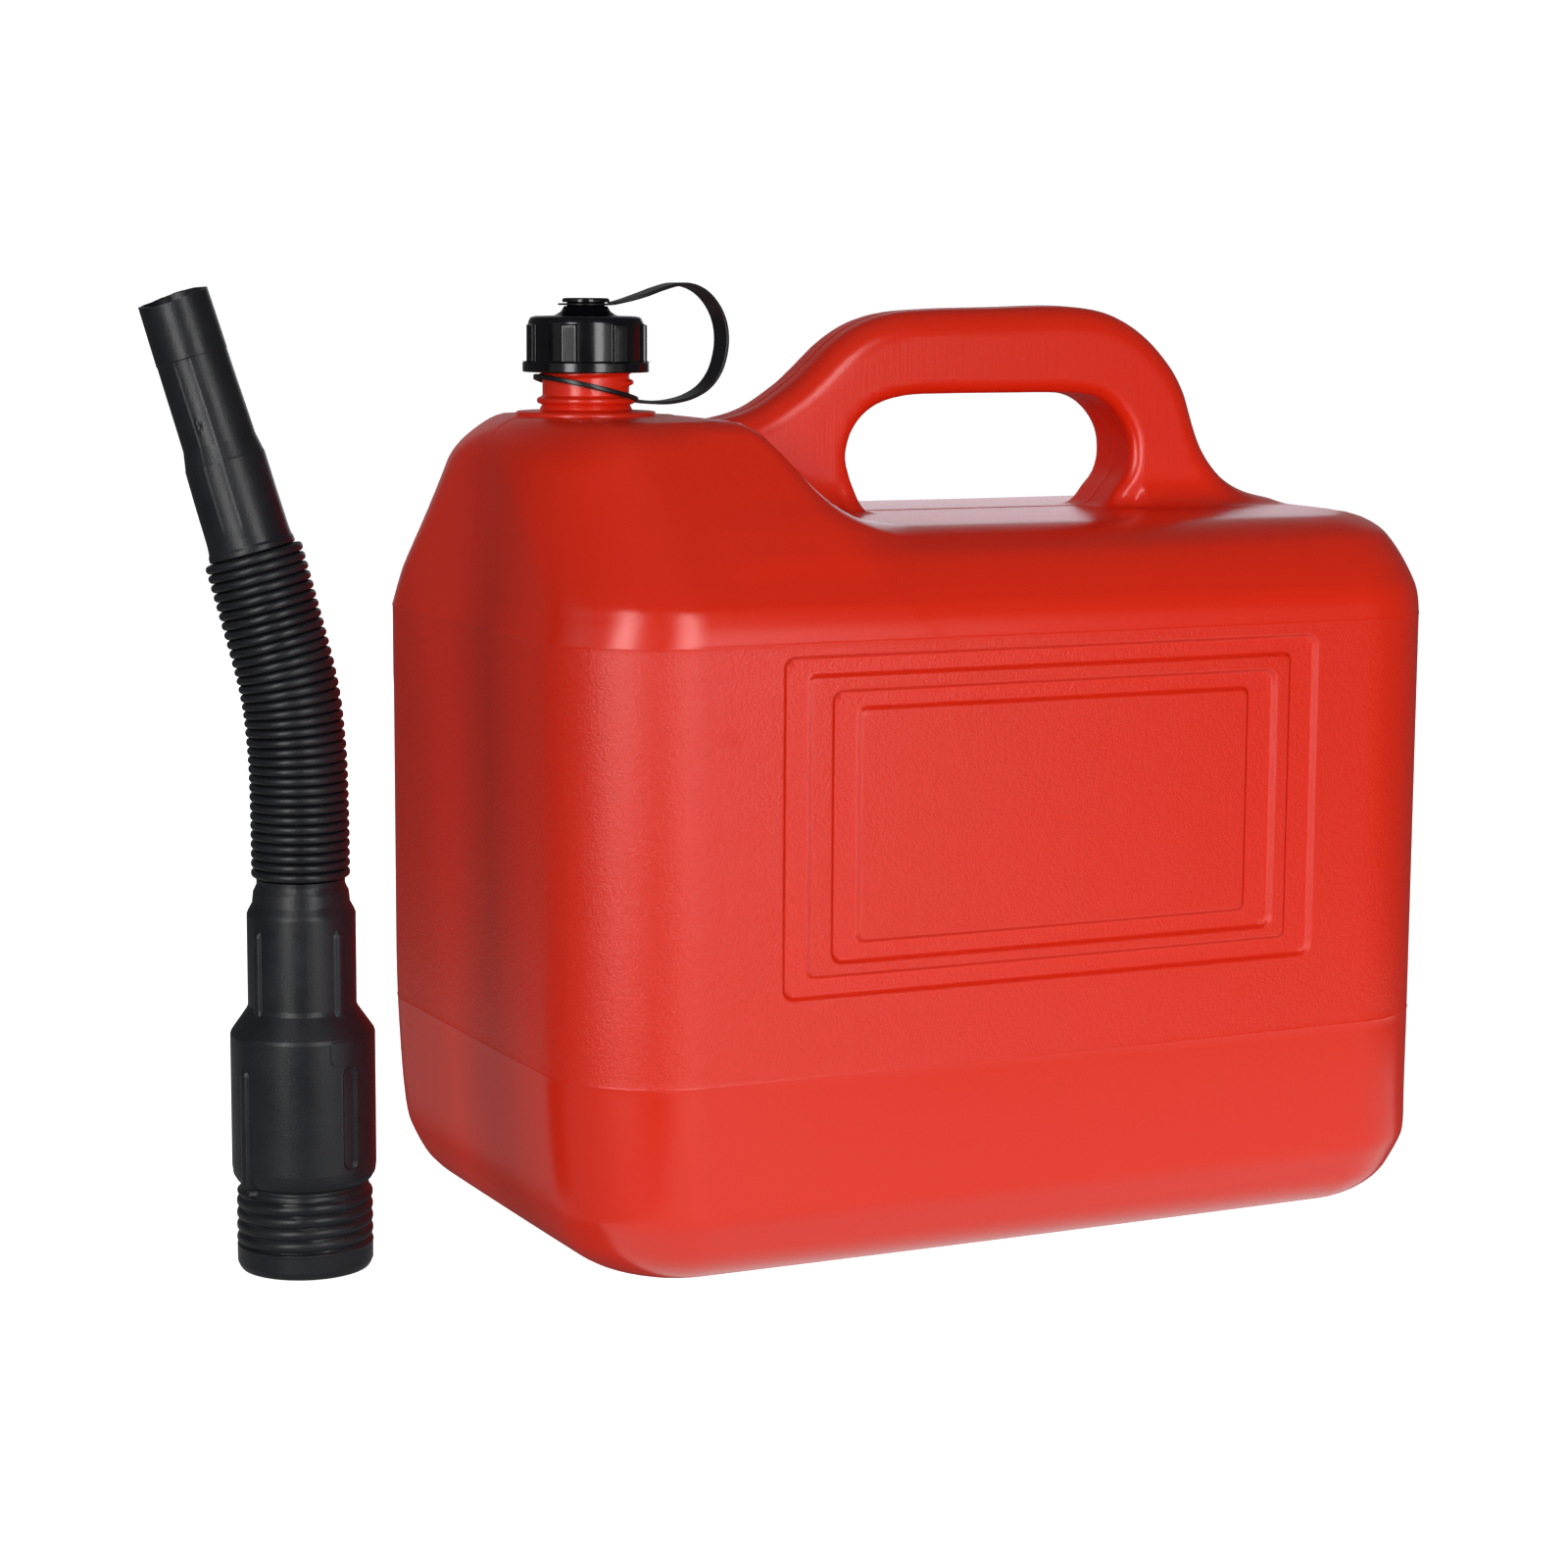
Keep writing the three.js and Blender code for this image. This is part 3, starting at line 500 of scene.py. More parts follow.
def build_can():
    F = field_grid(XS, YS, ZS, True)
    v, q = surface_nets(F, XS, YS, ZS)
    f = field_of(True)
    v = relax_to(f, v, 4)
    v[:, 1] = np.clip(v[:, 1], -116.995, 116.995)
    outer = mesh_object("can_body_skin", v, q)
    f_in = field_of(False, WALL)
    xi, yi, zi = np.arange(-183, 184, 7.7), np.arange(-119, 120, 7.1), np.arange(-1, 350, 6.1)
    Fi = field_grid(xi, yi, zi, False, WALL)
    vi, qi = surface_nets(Fi, xi, yi, zi)
    vi = relax_to(f_in, vi, 3, h=0.8)
    inner = mesh_object("can_inside", vi, qi)
    return outer, inner


can, can_in = build_can()

# ---- neck: base disc, stop bead and right-hand thread
NECK_R, THREAD_R, PITCH, BORE = 16.0, 17.6, 4.3, 13.6
neck_prof = [(0, 299), (25.9, 299), (25.9, 308.1, 0.5), (25.3, 308.9, 0.4), (18.6, 309.15, 0.6), (17.0, 309.5, 0.8), (16.6, 310.6, 0.7), (NECK_R + 0.1, 311.1, 0.3), (16.5, 311.35, 0.2),
             (17.85, 311.9, 0.7), (18.1, 312.8, 0.8), (17.85, 313.7, 0.7), (16.5, 314.3, 0.3), (NECK_R, 314.8, 0.4), (NECK_R, 339.0), (NECK_R - 0.2, 339.6, 0.4), (NECK_R - 1.0, 340.0, 0.4), (0, 340.0)]
neck_rows = smooth_rows(rounded(neck_prof, 0.3, 3), 0.42)
T0, TURNS, TSTART = 319.0, 4.2, -1.2


def neck_radius(th, r, z, i):
    if not (317.0 < z < 338.8) or r < NECK_R - 0.3:
        return np.full(len(th), r)
    best = np.zeros(len(th))
    for n in range(-1, 7):
        a = th + 2 * math.pi * n - TSTART
        zc = T0 + PITCH * a / (2 * math.pi)
        live = ss(0, 0.6, a) * ss(TURNS * 2 * math.pi, TURNS * 2 * math.pi - 0.6, a)
        d = np.abs(z - zc)
        best = np.maximum(best, live * ss(1.45, 0.45, d))
    return r + (THREAD_R - NECK_R) * best


neck = turned("neck_tmp", neck_rows, 160, neck_radius, axis=(NECK_X, 0))
bore_prof = [(0, 284), (19.0, 284), (19.0, 302.6), (BORE, 306.2), (BORE, 339.2), (BORE + 0.6, 340.4), (BORE + 0.6, 344), (0, 344)]
bore = turned("bore_tmp", smooth_rows(bore_prof, 3.0), 96, axis=(NECK_X, 0))


def boolean(a, b, op):
    m = a.modifiers.new("b", "BOOLEAN")
    m.operation = op
    m.object = b
    m.solver = "MANIFOLD"
    dg = bpy.context.evaluated_depsgraph_get()
    me = bpy.data.meshes.new_from_object(a.evaluated_get(dg))
    a.modifiers.clear()
    old = a.data
    a.data = me
    bpy.data.meshes.remove(old)
    bpy.data.objects.remove(b)
    return a


hollow = boolean(can_in, bore, "UNION")
can = boolean(can, neck, "UNION")
can = boolean(can, hollow, "DIFFERENCE")
can.name = "can_moulding"
me = can.data
n = len(me.vertices)
co = np.zeros(n * 3)
me.vertices.foreach_get("co", co)
co = co.reshape(-1, 3) / MM + (0, 0, FLOOR)
val = split_eval(co, True)
nearneck = (np.hypot(co[:, 0] - NECK_X, co[:, 1]) < 27.0) & (co[:, 2] > 298)
skin = (np.abs(val) < 0.05) & ~nearneck
normals = np.zeros((n, 3))
g = gradient(field_of(True), co[skin], 0.35)
normals[skin] = g / np.maximum(np.linalg.norm(g, axis=1), 1e-9)[:, None]
me.polygons.foreach_set("use_smooth", [True] * len(me.polygons))
me.normals_split_custom_set_from_vertices(normals.tolist())
print("can", n, "vertices", sum(len(p.vertices) - 2 for p in me.polygons), "triangles", "skin", int(skin.sum()))
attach(can, "can")
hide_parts("can_tank", "can_handle", "can_neck")


# ================================================================ helpers for the small pieces
def fan(*spans, base=72):
    """Angles round a turn: an even ring, closer together inside the given (centre, half width, step) spans."""
    a = list(np.arange(base) * 2 * math.pi / base)
    for c, w, st in spans:
        a = [x for x in a if abs((x - c + math.pi) % (2 * math.pi) - math.pi) > w + 0.5 * st]
        m = int(round(2 * w / st))
        a += [(c - w + 2 * w * k / m) % (2 * math.pi) for k in range(m + 1)]
    return np.array(sorted(a))


def around(th, c):
    return (th - c + math.pi) % (2 * math.pi) - math.pi


def tube(name, rows, frame_at, seg=64, close=True, angles=None):
    """Sweeps closed (distance, radius or radius(theta)) rows round a spine."""
    th = np.arange(seg) * 2 * math.pi / seg if angles is None else angles
    verts = []
    for d, r in rows:
        p, nrm, side_ = frame_at(d)
        if callable(r):
            rr = r(th)
            if isinstance(rr, tuple):
                rr, dd = rr
                q = np.array([frame_at(d + e)[0] for e in dd])
            else:
                q = p[None, :]
        else:
            rr, q = np.full(len(th), r), p[None, :]
        verts.append(q + rr[:, None] * (np.cos(th)[:, None] * nrm + np.sin(th)[:, None] * side_))
    n = len(verts)
    ob = mesh_object(name, np.vstack(verts), grid_faces(n, len(th), True, close))
    return outward(ob)


# ================================================================ screw cap
CAP_RIBS, CAP_R = 7, 21.2
RIB_AT = [math.radians(-129.0 + 360.0 / CAP_RIBS * k) for k in range(CAP_RIBS)]
cap_out = [(0, 350.1), (5.6, 350.12), (6.6, 350.0, 0.3), (7.9, 350.1, 0.5), (8.67, 349.7, 0.4), (8.67, 348.62, 0.2), (8.3, 348.5, 0.15), (6.95, 348.48, 0.2), (6.95, 347.2, 0.2), (8.0, 347.1, 0.25),
           (8.35, 346.5, 0.6), (9.2, 345.2, 1.2), (11.0, 344.0, 0.8), (12.0, 343.7, 0.6), (18.6, 343.5, 0.5), (20.4, 343.0, 1.2), (21.15, 341.3, 1.0), (21.2, 340.9, 0.2), (21.2, 340.65, 0.1), (21.22, 340.3, 0.1), (21.25, 327.5, 0.15),
           (21.4, 327.15, 0.15), (22.9, 327.05, 0.25), (23.25, 326.7, 0.3), (23.3, 323.6, 0.3), (23.0, 323.2, 0.2), (19.4, 323.2, 0.2), (18.9, 323.6, 0.2)]
cap_in = [(18.9, 341.0, 0.4), (17.8, 341.6, 0.5), (0, 341.6)]
cap_rows = smooth_rows(rounded(cap_out + cap_in, 0.25, 3), 0.75)
knurl_step = math.radians(0.42)
cap_angles = fan(*[(a % (2 * math.pi), math.radians(10.6), knurl_step) for a in RIB_AT], base=120)


def cap_radius(th, r, z, i):
    if z > 341.55 and r < 19 or r < 16.5:
        return np.full(len(th), r)
    if r < 19.2 and z < 340.6:      # the thread inside
        best = np.zeros(len(th))
        for n in range(-1, 7):
            a = th + 2 * math.pi * n - TSTART
            zc = T0 + PITCH * a / (2 * math.pi) + PITCH / 2
            live = ss(325.0, 326.0, zc) * ss(339.0, 338.0, zc)
            best = np.maximum(best, live * ss(1.25, 0.3, np.abs(z - zc)))
        return r - 2.1 * best
    if not (327.0 < z < 341.4) or r < 20.5:
        return np.full(len(th), r)
    out = np.zeros(len(th))
    up = ss(340.75, 340.45, z)
    for c in RIB_AT:
        s = around(th, c) * 22.0
        rib = ss(3.4, 2.6, np.abs(s))
        line = 0.10 * (0.5 - 0.5 * np.cos(2 * math.pi * (s / 0.78))) * ss(2.5, 2.2, np.abs(s)) * ss(340.2, 339.4, z)
        out = out + 1.25 * rib - line
    return r + out * up


cap = turned("cap_moulding", cap_rows, cap_angles, cap_radius, axis=(NECK_X, 0))
sharp(cap, 42)
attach(cap, "cap")
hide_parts("cap")

seal_prof = [(9.8, 340.45), (13.0, 340.45, 0.2), (13.4, 340.2, 0.2), (16.2, 340.2, 0.2), (16.6, 340.45, 0.2), (17.1, 340.5, 0.2), (17.1, 341.35, 0.2), (9.8, 341.35, 0.2), (9.6, 340.9, 0.1)]
seal = turned("cap_sealing_disc", rounded(seal_prof, 0.15, 2), 96, close=True, axis=(NECK_X, 0))
sharp(seal, 50)
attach(seal, SEAL_BODY)
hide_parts("cap_gasket")

# ================================================================ tether: ring, band and eye
RING_R, RING_Z, RING_TILT, BAND_AZ = 18.85, 317.2, 0.235, 0.18
sec = []
for k in range(24):
    a = 2 * math.pi * k / 24
    c, s = math.cos(a), math.sin(a)
    sec.append((0.52 * math.copysign(abs(c) ** 0.55, c), 0.93 * math.copysign(abs(s) ** 0.55, s)))
ring_th = np.arange(160) * 2 * math.pi / 160
verts = []
for t in ring_th:
    wide = 0.75 * math.exp(-(around(t, BAND_AZ) / 0.13) ** 2)
    for dr, dz in sec:
        r = RING_R + dr * (1 + 0.25 * wide)
        verts.append((NECK_X + r * math.cos(t), r * math.sin(t), RING_Z - RING_TILT * RING_R * math.cos(t) + dz * (1 + wide * 0.3)))
ring = mesh_object("tether_neck_ring", verts, grid_faces(len(ring_th), len(sec), True, True))
outward(ring)
sharp(ring, 50)
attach(ring, "tether")
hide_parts("tether_ring")

BAND = [(19.75, 312.75), (22, 312.25), (25, 311.9), (31.5, 311.5), (38, 311.9), (45.7, 313.6), (52.8, 317.2), (57.7, 322.8), (60.3, 330), (60.8, 336), (59.6, 342), (56.5, 347.6), (51.5, 352.3), (45.6, 354.8), (39.2, 355.2), (32, 353.6), (25, 351.4), (18, 349.5), (13.5, 348.5), (11.1, 348.05)]
bp = spline(BAND, 9)
bt = np.gradient(bp, axis=0)
bt /= np.linalg.norm(bt, axis=1)[:, None]
blen = np.concatenate([[0], np.cumsum(np.linalg.norm(np.diff(bp, axis=0), axis=1))])
ca, sa = math.cos(BAND_AZ), math.sin(BAND_AZ)
verts = []
bsec = []
for k in range(28):
    a = 2 * math.pi * k / 28
    c, s = math.cos(a), math.sin(a)
    bsec.append((math.copysign(abs(c) ** 0.28, c), math.copysign(abs(s) ** 0.42, s)))
for p, t, s in zip(bp, bt, blen):
    u = s / blen[-1]
    w = 2.5 + 1.9 * min(ss(0.0, 0.11, u), ss(1.0, 0.87, u))
    th2 = 0.65 - 0.12 * float(ss(0.92, 1.0, u)) - 0.06 * float(ss(0.06, 0.0, u))
    n2 = np.array([-t[1], t[0]])
    for a, b_ in bsec:
        edge = 0.13 * (abs(a) > 0.9)
        x = p[0] + n2[0] * b_ * (th2 + edge)
        z = p[1] + n2[1] * b_ * (th2 + edge)
        y = a * w
        verts.append((NECK_X + x * ca - y * sa, x * sa + y * ca, z))
faces = grid_faces(len(bp), len(bsec), True, False).tolist()
faces.append(list(range(len(bsec)))[::-1])
faces.append([(len(bp) - 1) * len(bsec) + k for k in range(len(bsec))])
band = mesh_object("tether_loop_band", verts, faces)
outward(band)
sharp(band, 55)
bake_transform(band)
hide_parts("tether_band")

eye_prof = [(7.35, 347.5), (7.35, 348.15, 0.15), (9.9, 348.15, 0.25), (10.35, 347.95, 0.2), (10.35, 347.65, 0.2), (9.9, 347.45, 0.25), (7.6, 347.45, 0.15)]


def eye_radius(th, r, z, i):
    if r < 9.5:
        return np.full(len(th), r)
    return r + 0.55 * ss(0.42, 0.2, np.abs(around(th, BAND_AZ)))


eye = turned("tether_eye_washer", rounded(eye_prof, 0.15, 2), 128, eye_radius, close=True, axis=(NECK_X, 0))
sharp(eye, 55)
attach(eye, "eye")
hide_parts("tether_eye")

# ================================================================ pouring spout
SX, SY = -249.2, -14.5
FACE = math.radians(-108.1)     # the side of the spout that faces the camera
RIB_L, RIB_R, SLOT_A = FACE - math.radians(53), FACE + math.radians(42), FACE + math.radians(39.6)
base_out = [(22.6, 3.65), (22.95, 3.7, 0.3), (23.6, 4.6, 0.8), (24.3, 6.2, 1.5), (24.35, 12.6, 0.6), (23.2, 13.3, 0.4), (23.1, 33.4, 0.3), (22.3, 34.4, 0.7), (22.4, 35.2, 0.7), (24.0, 36.0, 1.2), (25.4, 38.4, 1.8), (25.8, 41.6, 2.0),
            (25.8, 89.2, 0.3), (25.4, 90.4, 0.5), (20.0, 98.1, 0.8), (19.35, 99.6, 0.8), (19.35, 132.6, 0.3), (18.9, 133.8, 0.5), (17.4, 136.6, 1.0), (17.0, 140.6, 1.0), (16.3, 142.0, 0.8), (15.7, 143.4, 0.8), (15.75, 145.1, 0.2)]
base_in = [(14.2, 145.1), (14.2, 142.0, 0.8), (15.0, 139.0, 1.0), (17.6, 132.6, 1.0), (17.6, 99.0, 1.0), (24.0, 89.0, 1.0), (24.0, 41.6, 1.5), (22.8, 37.4, 1.2), (20.4, 35.6, 1.0), (20.9, 33.4, 0.5), (20.9, 4.4, 0.4), (21.3, 3.7, 0.3)]
rows_out = smooth_rows(rounded(base_out, 0.4, 3), 0.62)
rows_in = smooth_rows(rounded([base_out[-1]] + base_in + [base_out[0]], 0.4, 3), 3.0)[1:-1]
N_OUT = len(rows_out)
H_PITCH, H_Z0 = 4.43, 12.0
spout_angles = fan((RIB_L % (2 * math.pi), 0.15, 0.0145), (RIB_R % (2 * math.pi), 0.17, 0.0145), (SLOT_A % (2 * math.pi), 0.33, 0.0135), base=104)


def capsule(s, z, w, z0, z1):
    """Signed distance to an upright rounded bar of half width w between two heights."""
    zc = np.clip(z, z0 + w, z1 - w)
    return np.sqrt(s * s + (z - zc) ** 2) - w


def base_radius(th, r, z, i):
    rr = np.full(len(th), float(r))
    if i >= N_OUT:
        return rr
    if 12.0 < z < 34.6 and r > 22:
        a = (th - FACE - 1.9) % (2 * math.pi)
        ph = (z - H_Z0) / H_PITCH - a / (2 * math.pi) - 0.18
        h = np.abs((ph % 1.0) - 0.5) * 2          # 1 on the crest, 0 in the valley
        live = ss(12.2, 13.6, z + 0 * th) * ss(34.0, 33.2, z + 0 * th)
        # the thread runs in from the plain band and dies away under the cylinder
        top = ss(0.15, 0.5, (33.9 - z) / H_PITCH + 0.0 * a)
        rr = rr + live * top * 1.25 * (1 - (1 - h) ** 2.4) * ss(0.0, 0.35, h)
    if 95 < z < 128.4:
        for c in (RIB_L, RIB_R, RIB_L + math.pi, RIB_R + math.pi):
            s = around(th, c) * 19.35
            # the bar stands off the cylinder, so it also runs out over the cone below
            d = capsule(s, z, 2.0, 90.0, 127.9)
            stand = (20.6 - r) if z < 100 else 1.25
            rr = rr + min(1.25, max(stand, 0)) * np.sqrt(np.clip(1 - (np.clip(d + 2.0, 0, 2.0) / 2.0) ** 2, 0, 1)) * (z < 127.95)
    if 33 < z < 80:
        for c in (RIB_L, RIB_L + math.pi):
            s = around(th, c) * 25.8
            d = capsule(s, z, 2.1, 30.0, 78.9)
            stand = (27.1 - r) if z < 42 else 1.3
            rr = rr + min(2.6, max(stand, 0)) * np.sqrt(np.clip(1 - (np.clip(d + 2.1, 0, 2.1) / 2.1) ** 2, 0, 1))
    if 40 < z < 91:
        for c in (SLOT_A, SLOT_A + math.pi):
            s = around(th, c) * 25.8
            d = capsule(s, z, 3.0, 43.0, 80.0)
            rr = rr - 0.95 * ss(0.25, -0.75, d) + 0.14 * np.exp(-((d - 0.35) / 0.3) ** 2)
            qx, qz = np.abs(s + 0.8) - 7.2 + 2.6, np.abs(z - 86.2) - 5.0 + 2.6
            d = np.sqrt(np.maximum(qx, 0) ** 2 + np.maximum(qz, 0) ** 2) + np.minimum(np.maximum(qx, qz), 0) - 2.6
            if z < 89.4:
                rr = rr + 0.34 * ss(0.3, -0.3, d)
    return rr


spout_base = turned("spout_stepped_base", rows_out + rows_in, spout_angles, base_radius, close=True, axis=(SX, SY))
sharp(spout_base, 38)
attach(spout_base, "spout")
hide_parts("spout_base")

SPINE = [(0, 145.5), (0, 158), (0.1, 170), (0.5, 187), (1.2, 197), (2.3, 207.5), (4.2, 218), (6.7, 228.3), (9.4, 238.7), (12.1, 249), (14.9, 259.4), (17.6, 269), (20.9, 280.1), (26.9, 300.9), (33.3, 321.6), (42.1, 350.5)]
sp = spline(SPINE, 60)
slen = np.concatenate([[0], np.cumsum(np.linalg.norm(np.diff(sp, axis=0), axis=1))])
SPINE_LEN = slen[-1]
DIR = np.array([-0.9, 0.436, 0.0])
DIR /= np.linalg.norm(DIR)
SIDE = np.array([-DIR[1], DIR[0], 0.0])


def spine_at(d):
    s = np.interp(d, slen, sp[:, 0])
    z = np.interp(d, slen, sp[:, 1])
    e, c = 1.2, min(max(d, 0.0), SPINE_LEN)
    t = np.array([np.interp(c + e, slen, sp[:, 0]) - np.interp(c - e, slen, sp[:, 0]), np.interp(c + e, slen, sp[:, 1]) - np.interp(c - e, slen, sp[:, 1])])
    t /= np.linalg.norm(t)
    p = np.array([SX, SY, 0]) + DIR * s + np.array([0, 0, z])
    if d < 0 or d > SPINE_LEN:
        ex = d if d < 0 else d - SPINE_LEN
        p = p + (DIR * t[0] + np.array([0, 0, t[1]])) * ex
    tan = DIR * t[0] + np.array([0, 0, t[1]])
    nrm = np.cross(SIDE, tan)
    return p, nrm / np.linalg.norm(nrm), SIDE


B_PITCH, B_N, B_ROOT, B_H = 3.44, 34, 15.55, 2.0
B_LEN = B_PITCH * B_N
rows = []
per = 14
for k in range(B_N * per + 1):
    d = 0.1 + (B_LEN - 0.2) * k / (B_N * per)
    c = abs(((k / per) % 1.0) * 2 - 1)
    rows.append((d, B_ROOT + B_H * math.sqrt(1 - c ** 2.4)))
for k in range(B_N * 4, -1, -1):
    d = 0.1 + (B_LEN - 0.2) * k / (B_N * 4)
    c = 0.5 - 0.5 * math.cos(2 * math.pi * (k / 4))
    rows.append((d, B_ROOT - 1.3 + 1.5 * c))
bellows = tube("spout_bellows_tube", rows, spine_at, 72)
sharp(bellows, 70)
pa, pb = spine_at(0.0)[0], spine_at(B_LEN)[0]
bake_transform(bellows)
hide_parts("spout_bellows")

NZ = B_LEN + 0.25
noz = [(NZ, 15.2), (NZ + 0.4, 15.5, 0.3), (NZ + 2.0, 15.4, 0.4), (NZ + 3.0, 14.95, 0.4), (NZ + 6.0, 14.7, 1), (NZ + 33.2, 14.35, 0.4), (NZ + 34.0, 14.1, 0.4), (NZ + 40.0, 13.0, 1.6), (NZ + 58, 12.75, 1), (NZ + 70.6, 12.6, 0.2), (NZ + 71.0, 12.78, 0.2), (SPINE_LEN, 12.5)]
nrows = smooth_rows(rounded(noz, 0.3, 3), 0.9)
nin = [(NZ + 70, 11.2), (NZ + 42, 11.5), (NZ + 34, 12.8), (NZ + 5, 13.2), (NZ, 13.7)]
front = math.radians(90)        # angle of SIDE, which looks at the camera
GATE = NZ + 47.5
nz_angles = fan((front - 0.12, 0.62, 0.028), base=80)


def nozzle_row(d, r):
    def f(th):
        s = around(th, front - 0.14) * 13.0
        rr = np.full(len(th), r)
        # a narrow flattened strip with a parting line down each edge
        live = float(ss(NZ + 8, NZ + 12, d) * ss(NZ + 71, NZ + 69, d))
        rr = rr - live * (0.10 * ss(3.6, 2.6, np.abs(s)) - 0.13 * np.exp(-((s - 3.3) / 0.28) ** 2) - 0.08 * np.exp(-((s + 3.6) / 0.28) ** 2))
        g_ = np.sqrt(((s + 1.2) / 1.05) ** 2 + ((d - GATE) / 2.3) ** 2)
        rr = rr + 0.30 * ss(1.25, 0.75, g_) - 0.42 * ss(0.75, 0.2, g_)
        if d > SPINE_LEN - 12:
            e = (d - (SPINE_LEN - 12)) / 12
            cut = 0.22 * np.sin(3 * th + 0.6) + 0.06 * np.sin(11 * th) + 0.03 * np.sin(29 * th + 1.0) - 1.7 * np.cos(th - front) - 0.8
            return rr, e * e * cut
        return rr
    return f


rows = [(d, nozzle_row(d, r)) for d, r in nrows]
E = SPINE_LEN
rows += [(E, nozzle_row(E, 12.3)), (E + 0.02, nozzle_row(E, 11.9)), (E, nozzle_row(E, 11.35)), (E - 0.4, nozzle_row(E, 11.1)), (E - 8, lambda th: np.full(len(th), 11.0))]
rows += [(d, (lambda th, r=r: np.full(len(th), r))) for d, r in smooth_rows(nin, 5)]
nozzle = tube("spout_nozzle_tube", rows, spine_at, angles=nz_angles)
sharp(nozzle, 45)
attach(nozzle, "nozzle")
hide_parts("spout_nozzle")

# ================================================================ materials
def nodes_of(name):
    m = bpy.data.materials.new(name)
    m.use_nodes = True
    nt = m.node_tree
    b = nt.nodes["Principled BSDF"]
    return m, nt, b


class Graph:
    def __init__(self, nt):
        self.nt = nt
        self.co = nt.nodes.new("ShaderNodeTexCoord").outputs["Object"]
        sep = nt.nodes.new("ShaderNodeSeparateXYZ")
        nt.links.new(self.co, sep.inputs[0])
        self.x, self.y, self.z = sep.outputs

    def put(self, sock, v):
        if hasattr(v, "links"):
            self.nt.links.new(v, sock)
        else:
            sock.default_value = v

    def noise(self, scale, detail=3.0, rough=0.55, stretch=None, seed=0.0):
        n = self.nt.nodes.new("ShaderNodeTexNoise")
        n.inputs["Scale"].default_value = scale
        n.inputs["Detail"].default_value = detail
        n.inputs["Roughness"].default_value = rough
        mp = self.nt.nodes.new("ShaderNodeMapping")
        mp.inputs["Location"].default_value = (seed, seed * 0.7, seed * 1.3)
        if stretch:
            mp.inputs["Scale"].default_value = stretch
        self.nt.links.new(self.co, mp.inputs["Vector"])
        self.nt.links.new(mp.outputs[0], n.inputs["Vector"])
        return n.outputs["Fac"]

    def math(self, op, a, b=0.0, clamp=False):
        n = self.nt.nodes.new("ShaderNodeMath")
        n.operation = op
        n.use_clamp = clamp
        self.put(n.inputs[0], a)
        self.put(n.inputs[1], b)
        return n.outputs[0]

    def ramp(self, v, a, b, lo=0.0, hi=1.0, smooth=True):
        n = self.nt.nodes.new("ShaderNodeMapRange")
        n.interpolation_type = "SMOOTHSTEP" if smooth else "LINEAR"
        self.put(n.inputs["Value"], v)
        n.inputs["From Min"].default_value = a
        n.inputs["From Max"].default_value = b
        n.inputs["To Min"].default_value = lo
        n.inputs["To Max"].default_value = hi
        return n.outputs["Result"]

    def mix(self, f, a, b):
        n = self.nt.nodes.new("ShaderNodeMix")
        n.data_type = "RGBA"
        self.put(n.inputs["Factor"], f)
        for s, v in ((n.inputs[6], a), (n.inputs[7], b)):
            if isinstance(v, tuple):
                s.default_value = (*v, 1.0)
            else:
                self.nt.links.new(v, s)
        return n.outputs[2]

    def bump(self, height, dist, strength=1.0, normal=None):
        n = self.nt.nodes.new("ShaderNodeBump")
        n.inputs["Distance"].default_value = dist
        self.put(n.inputs["Strength"], strength)
        self.nt.links.new(height, n.inputs["Height"])
        if normal is not None:
            self.nt.links.new(normal, n.inputs["Normal"])
        return n.outputs[0]


def give(ob, mat):
    ob.data.materials.clear()
    ob.data.materials.append(mat)


# ---- the can's red polyethylene: stippled between the mould lines, smoother on the shoulder, drawn grain on the grip
red, nt, b = nodes_of("red_polyethylene")
g = Graph(nt)
RED = (0.80, 0.0225, 0.0045)
patch = g.noise(7.0, 3.0)
fine = g.noise(420.0, 2.0, seed=3.1)
tone = g.math("ADD", g.ramp(patch, 0.1, 0.9, -0.07, 0.07), g.ramp(fine, 0.2, 0.8, -0.03, 0.03))
dark = tuple(c * 0.90 for c in RED)
lite = tuple(min(1, c * 1.08) for c in RED)
b_col = g.mix(g.math("ADD", tone, 0.5), dark, lite)
nt.links.new(b_col, b.inputs["Base Color"])
b.inputs["IOR"].default_value = 1.5
walls = g.math("MULTIPLY", g.ramp(g.z, 0.0745, 0.0758), g.ramp(g.z, 0.2292, 0.2278))
stipple = g.noise(1500.0, 3.0, 0.6, seed=1.7)
pebble = g.noise(620.0, 2.0, 0.5, seed=5.3)
height = g.math("ADD", g.math("MULTIPLY", stipple, 0.6), g.math("MULTIPLY", pebble, 0.5))
grain = g.math("ADD", g.math("MULTIPLY", walls, 0.84), 0.16)
n1 = g.bump(height, 0.00036, grain)
draw = g.noise(1.0, 3.0, 0.6, stretch=(900.0, 260.0, 28.0), seed=2.2)
grip = g.ramp(g.z, 0.272, 0.286)
n2 = g.bump(draw, 0.00016, g.math("MULTIPLY", grip, 0.45), n1)
nt.links.new(n2, b.inputs["Normal"])
rough = g.math("ADD", 0.25, g.math("MULTIPLY", walls, 0.012))
nt.links.new(rough, b.inputs["Roughness"])
give(can, red)


